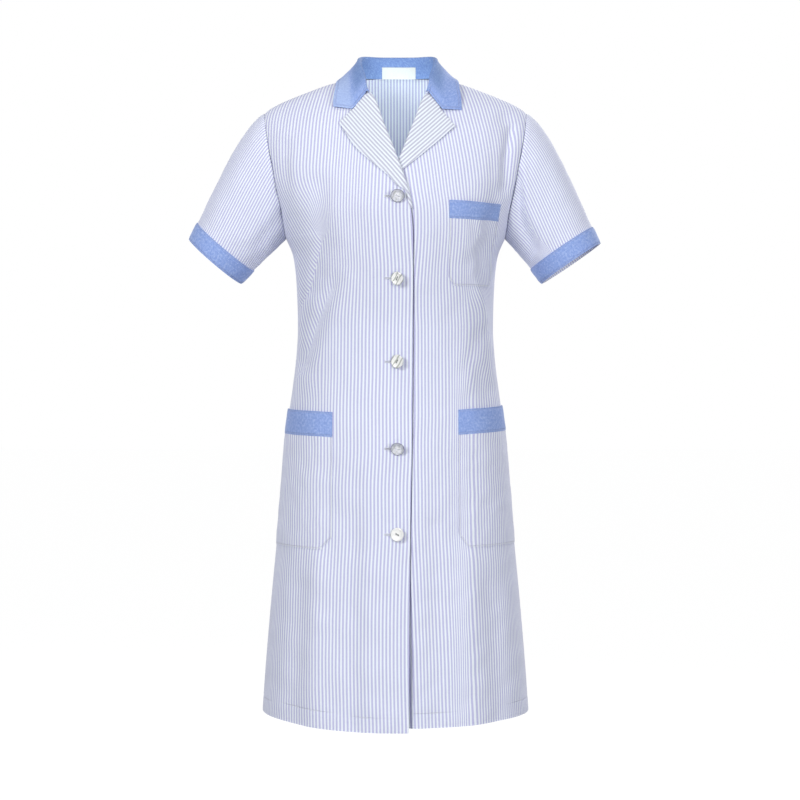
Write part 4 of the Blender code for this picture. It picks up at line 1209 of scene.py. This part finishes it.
def build_collar():
    shares = np.concatenate([np.linspace(0, 0.985, 66), [0.992, 0.997, 1.0]])
    across = np.concatenate([np.linspace(0, 0.975, 22)[1:], [0.99, 1.0]])
    right, left = (collar_sheet(shares, across, drop) for drop in COLLAR_DROP)
    whole = np.concatenate([right[:0:-1] * [-1, 1, 1], left]) + [COLLAR_SHIFT, 0, 0]
    normals = normals_of(whole)
    # The outside of the fall, which on the stand faces forwards.
    normals = normals * -np.sign(normals[len(shares), 1, 1])
    long, wide = runs_of(whole), runs_of(whole, 1)
    rim = np.minimum(wide[:, -1:] - wide, np.minimum(long, long[-1:] - long))
    fall = ease(wide, 34, 50)
    whole = whole - normals * (drift(long, wide, 3.9, 52) * 0.35 * fall)[..., None]
    thin = 0.5 * np.exp(-rim / 0.7)
    way = np.abs(np.concatenate([-shares[:0:-1], shares]))[:, None]
    to_right = np.concatenate([shares[:0:-1], -shares])[:, None]
    # pale paints light on the fall of the wearer's right leaf, the side the key lamp is on, and paints
    # shade on the stand, except near its ends.
    pale = 0.32 * ease(to_right, 0.35, 0.7) * fall - 0.9 * (1 - fall) * fade(way, 0.7, 0.9)
    marks = {"stitch": np.minimum(rim, 60) - 4.0, "along": long + wide, "pale": pale}
    sew("collar", "plain_blue", whole, normals, thin - 0.75, 0.75 - thin,
        pair(long, wide), marks)
    return whole


def build_label(collar):
    """The blank label, on the inside of the collar's stand."""
    x = LABEL_MIDDLE + np.linspace(-LABEL_HALF, LABEL_HALF, 28)
    grid = []
    for k in np.linspace(LABEL_FROM, LABEL_TO, 9):
        line = collar[:, 0] + (collar[:, 8] - collar[:, 0]) * k
        grid.append(at_arc(line, line[:, 0], x))
    grid = np.stack(grid, 1)
    normals = normals_of(grid)
    normals = normals * -np.sign(normals[5, 3, 1])  # it faces forwards
    u, v = runs_of(grid), runs_of(grid, 1)
    curl = 0.5 * ease(v / v[:, -1:], 0.3, 1.0) * (0.6 + 0.4 * np.sin(u / 9))
    marks = {"stitch": np.minimum(u, u[-1:] - u) - 1.6, "along": v}
    sew("neck_label", "label", grid, normals, 1.0 + curl, 1.5 + curl, pair(u, v), marks)


# ---------------------------------------------------------------- buttons


def circle(around):
    """Cosines and sines of a full turn in equal steps."""
    a = 2 * np.pi * np.arange(around) / around
    return np.cos(a), np.sin(a)


def hoops(first, count, around):
    """Faces between rings of points, the first of which starts at the number `first`."""
    faces = []
    for ring in range(count - 1):
        for k in range(around):
            a, b = first + ring * around + k, first + ring * around + (k + 1) % around
            faces.append((a, b, b + around, a + around))
    return faces


def drill(ob, x):
    bpy.ops.mesh.primitive_cylinder_add(vertices=20, radius=EYE_RADIUS * MM, depth=0.02,
                                        location=(x * MM, 0, 0))
    cutter = bpy.context.object
    cut = ob.modifiers.new("hole", "BOOLEAN")
    cut.operation = "DIFFERENCE"
    cut.solver = "EXACT"
    cut.object = cutter
    bpy.context.view_layer.update()
    depsgraph = bpy.context.evaluated_depsgraph_get()
    mesh = bpy.data.meshes.new_from_object(ob.evaluated_get(depsgraph))
    ob.modifiers.clear()
    ob.data = mesh
    bpy.data.objects.remove(cutter, do_unlink=True)


def tube(points, radius, around=8):
    """Vertices and faces of a closed-ended tube along points."""
    points = np.array(points, float)
    run = unit(np.gradient(points, axis=0))
    side = unit(np.cross(run, [0.31, 0.17, 0.93]))
    cos, sin = (c[None, :, None] for c in circle(around))
    ring = points[:, None] + radius * (side[:, None] * cos + np.cross(run, side)[:, None] * sin)
    last = (len(points) - 1) * around
    ends = [tuple(range(around))[::-1], tuple(range(last, last + around))]
    return ring.reshape(-1, 3), hoops(0, len(points), around) + ends


def add_joined(name, tubes, mat):
    """The tubes as one mesh, which rides with the coat."""
    faces, shift = [], 0
    for verts, some in tubes:
        faces += [tuple(k + shift for k in face) for face in some]
        shift += len(verts)
    ob = mesh_object(name, np.concatenate([verts for verts, _ in tubes]), faces, mat)
    ob.data.shade_smooth()
    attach(ob, "root")


def on_front(x, z, lift=0.0):
    """A point `lift` above the over front, in the coat's own frame, and the normal there."""
    p, n = front_top(np.array([x]), np.array([z]), "over")
    n = n[0] * [-1, 1, 1]
    return p[0] * [-1, 1, 1] + n * lift, n


def add_pearl(name, mat):
    """A drilled button, lying flat about the origin with its face up."""
    cos, sin = circle(BUTTON_ROUND)
    rings = [np.stack([r * cos, r * sin, 0 * cos + h], 1) for r, h in BUTTON_PROFILE]
    bottom, top = ([[0, 0, BUTTON_PROFILE[k][1]]] for k in (0, -1))
    verts = np.concatenate([bottom, *rings, top])
    last = len(verts) - 1
    rim = last - BUTTON_ROUND
    faces = hoops(1, len(rings), BUTTON_ROUND)
    for k in range(BUTTON_ROUND):
        after = (k + 1) % BUTTON_ROUND
        faces += [(0, 1 + after, 1 + k), (rim + k, rim + after, last)]
    ob = mesh_object(name, verts, faces, mat)
    drill(ob, EYE)
    drill(ob, -EYE)
    ob.data.materials.clear()
    ob.data.materials.append(mat)
    return ob


def build_button(number, z, tilt, yaw, turn, look):
    name = f"button_{number}"
    spot, n = on_front(-CENTRE, z)
    # It hangs askew by tilt and yaw, is turned about itself, and rests on its lower rim.
    tilt, yaw, turn = np.radians((tilt, yaw, turn))
    face = unit(n * np.cos(tilt) * np.cos(yaw) + np.array([-np.sin(yaw), 0, np.sin(tilt)]))
    side = unit(np.cross([0, 0, 1], face))
    right = side * np.cos(turn) + np.cross(face, side) * np.sin(turn)
    axes = np.stack([right, np.cross(face, right), face])
    rest = 0.5 + 8.5 * math.hypot(np.sin(tilt), np.sin(yaw))
    foot = spot + n * rest

    ob = add_pearl(name + "_pearl", PEARLS[int(look)])
    mesh = ob.data
    coords = np.array([v.co[:] for v in mesh.vertices]) / MM
    radius = np.hypot(coords[:, 0], coords[:, 1])
    # Marks for the painted shade at the rim and the painted highlight in the middle.
    mark_points(mesh, "rim", ease(radius, 8.2, 9.4))
    mark_points(mesh, "middle", fade(radius, 2.6, 4.6))
    mesh.vertices.foreach_set("co", ((coords @ axes + foot) * MM).ravel())
    mesh.update()
    shade(mesh, 38)
    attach(ob, "root")
    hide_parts(name)

    strands = []
    for lane in (-0.45, 0.0, 0.45):
        s = np.linspace(-1, 1, 13)
        high = np.where(np.abs(s) < 0.999, 2.85 - 0.75 * s**4, 1.0)
        arch = np.stack([EYE * s, lane + 0.15 * s, high], 1)
        arch = np.concatenate([[[-EYE, lane, -0.4]], arch, [[EYE, lane, -0.4]]])
        strands.append(tube(arch @ axes + foot, STRAND))
    strands.append(tube([spot - n * 0.2, spot + n * rest * 0.5, foot + n * 0.3], SHANK))
    add_joined(name + "_thread", strands, THREAD if look == 2 else GREY_THREAD)


def build_buttonhole(number, z):
    """A worked hole, level from near the button's middle towards the side: rows of stitches
    across its two edges and a bar at each end."""
    start = -CENTRE - 3.0
    bars = []
    for s in np.linspace(0, 1, 44):
        for edge in (-1, 1):
            x = start + BUTTONHOLE * s
            row = ((x, 0.25, 0.05), (x, 0.95, 0.42), (x + 0.15, 1.65, 0.02))
            over = [on_front(u, z + edge * v, lift)[0] for u, v, lift in row]
            bars.append(tube(over, HOLE_STITCH, 6))
    for x in (start - 0.4, start + BUTTONHOLE + 0.4):
        bar = [on_front(x, z + v, 0.4)[0] for v in np.linspace(-1.5, 1.5, 5)]
        bars.append(tube(bar, BAR, 6))
    add_joined(f"button_{number}_buttonhole", bars, THREAD)


# ---------------------------------------------------------------- stage

FLOOR_HALF, FLOOR_DOWN = 40.0, -1.45  # in metres, as are the lamps' and the camera's places
LAMPS = (
    # name, place, aim, diameter, watts
    ("key", (-1.9, -2.8, 0.75), (0.0, 0.0, -0.45), 1.4, 61),
    ("fill", (2.1, -2.8, 0.1), (0.0, 0.0, -0.52), 1.6, 44.5),
    ("top", (0.0, -0.6, 2.3), (0.0, 0.0, -0.3), 1.6, 12),
    ("back_key", (1.9, 2.8, 1.1), (0.0, 0.0, -0.42), 1.3, 62),
    ("back_fill", (-2.0, 2.9, 0.1), (0.0, 0.0, -0.50), 1.6, 24),
    ("bounce", (-0.7, -2.0, -2.2), (-0.1, 0.0, -0.35), 1.6, 16),
    ("neck", (0.003, -0.030, -0.030), (0.003, 0.10, -0.075), 0.05, 0.10),
)
LAMP_COLOUR = {"neck": (0.90, 1.0, 0.96)}


def build_floor():
    a, z = FLOOR_HALF / MM, FLOOR_DOWN / MM
    kit = Kit("floor_paper", (0.95, 0.95, 0.95, 1), Base_Color=(0.1, 0.1, 0.1, 1),
              Roughness=0.95, Specular_IOR_Level=0.0, Emission_Color=(1, 1, 1, 1),
              Emission_Strength=0.96)
    corners = [(-a, -a, z), (a, -a, z), (a, a, z), (-a, a, z)]
    floor = mesh_object("floor", corners, [(0, 1, 2, 3)], kit.mat)
    floor.visible_diffuse = False
    floor.visible_glossy = False
    floor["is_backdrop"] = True


def build_world():
    """White as a background, and a softer light on the coat."""
    world = bpy.data.worlds.new("studio")
    bpy.context.scene.world = world
    world.use_nodes = True
    tree = world.node_tree
    pick = tree.nodes.new("ShaderNodeMixShader")
    for slot, colour, strength in ((1, (0.97, 0.98, 1.0, 1), 0.36), (2, (1, 1, 1, 1), 1.0)):
        glow = tree.nodes.new("ShaderNodeBackground")
        glow.inputs["Color"].default_value = colour
        glow.inputs["Strength"].default_value = strength
        tree.links.new(glow.outputs[0], pick.inputs[slot])
    seen = tree.nodes.new("ShaderNodeLightPath")
    tree.links.new(seen.outputs["Is Camera Ray"], pick.inputs[0])
    tree.links.new(pick.outputs[0], tree.nodes["World Output"].inputs["Surface"])


def build_lamps():
    for name, place, aim, size, power in LAMPS:
        light = bpy.data.lights.new(name, "AREA")
        light.shape = "DISK"
        light.size = size
        light.energy = power
        light.color = LAMP_COLOUR.get(name, (1, 1, 1))
        ob = bpy.data.objects.new(name, light)
        bpy.context.collection.objects.link(ob)
        ob.location = place
        ob.rotation_euler = (Vector(aim) - Vector(place)).to_track_quat("-Z", "Y").to_euler()
        ob.visible_camera = False


def build_camera():
    cam = bpy.data.objects.new("camera", bpy.data.cameras.new("camera"))
    bpy.context.collection.objects.link(cam)
    cam.data.sensor_width = 36
    cam.data.lens = 96.6
    cam.data.clip_end = 200
    cam.location = (0.0067, -3.2, -0.468)
    cam.rotation_euler = (math.pi / 2, 0, 0)
    scene = bpy.context.scene
    scene.camera = cam
    scene.view_settings.view_transform = "Standard"
    scene.view_settings.look = "None"


build_front("over")
build_front("under")
build_back()
for node, spec in SLEEVES.items():
    build_sleeve(node, spec)
for node, spec in POCKETS.items():
    build_pocket(node, spec)
    build_band(node, spec)
for node, spec in LAPELS.items():
    build_lapel(node, spec)
build_label(build_collar())
for number, row in enumerate(zip(*BUTTON.values()), 1):
    build_button(number, *row)
    build_buttonhole(number, row[0])
build_floor()
build_world()
build_lamps()
build_camera()

boxes = {"cad": cad_box, "visual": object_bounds()}
{k: [[float(v) for v in corner] for corner in b] for k, b in boxes.items()}
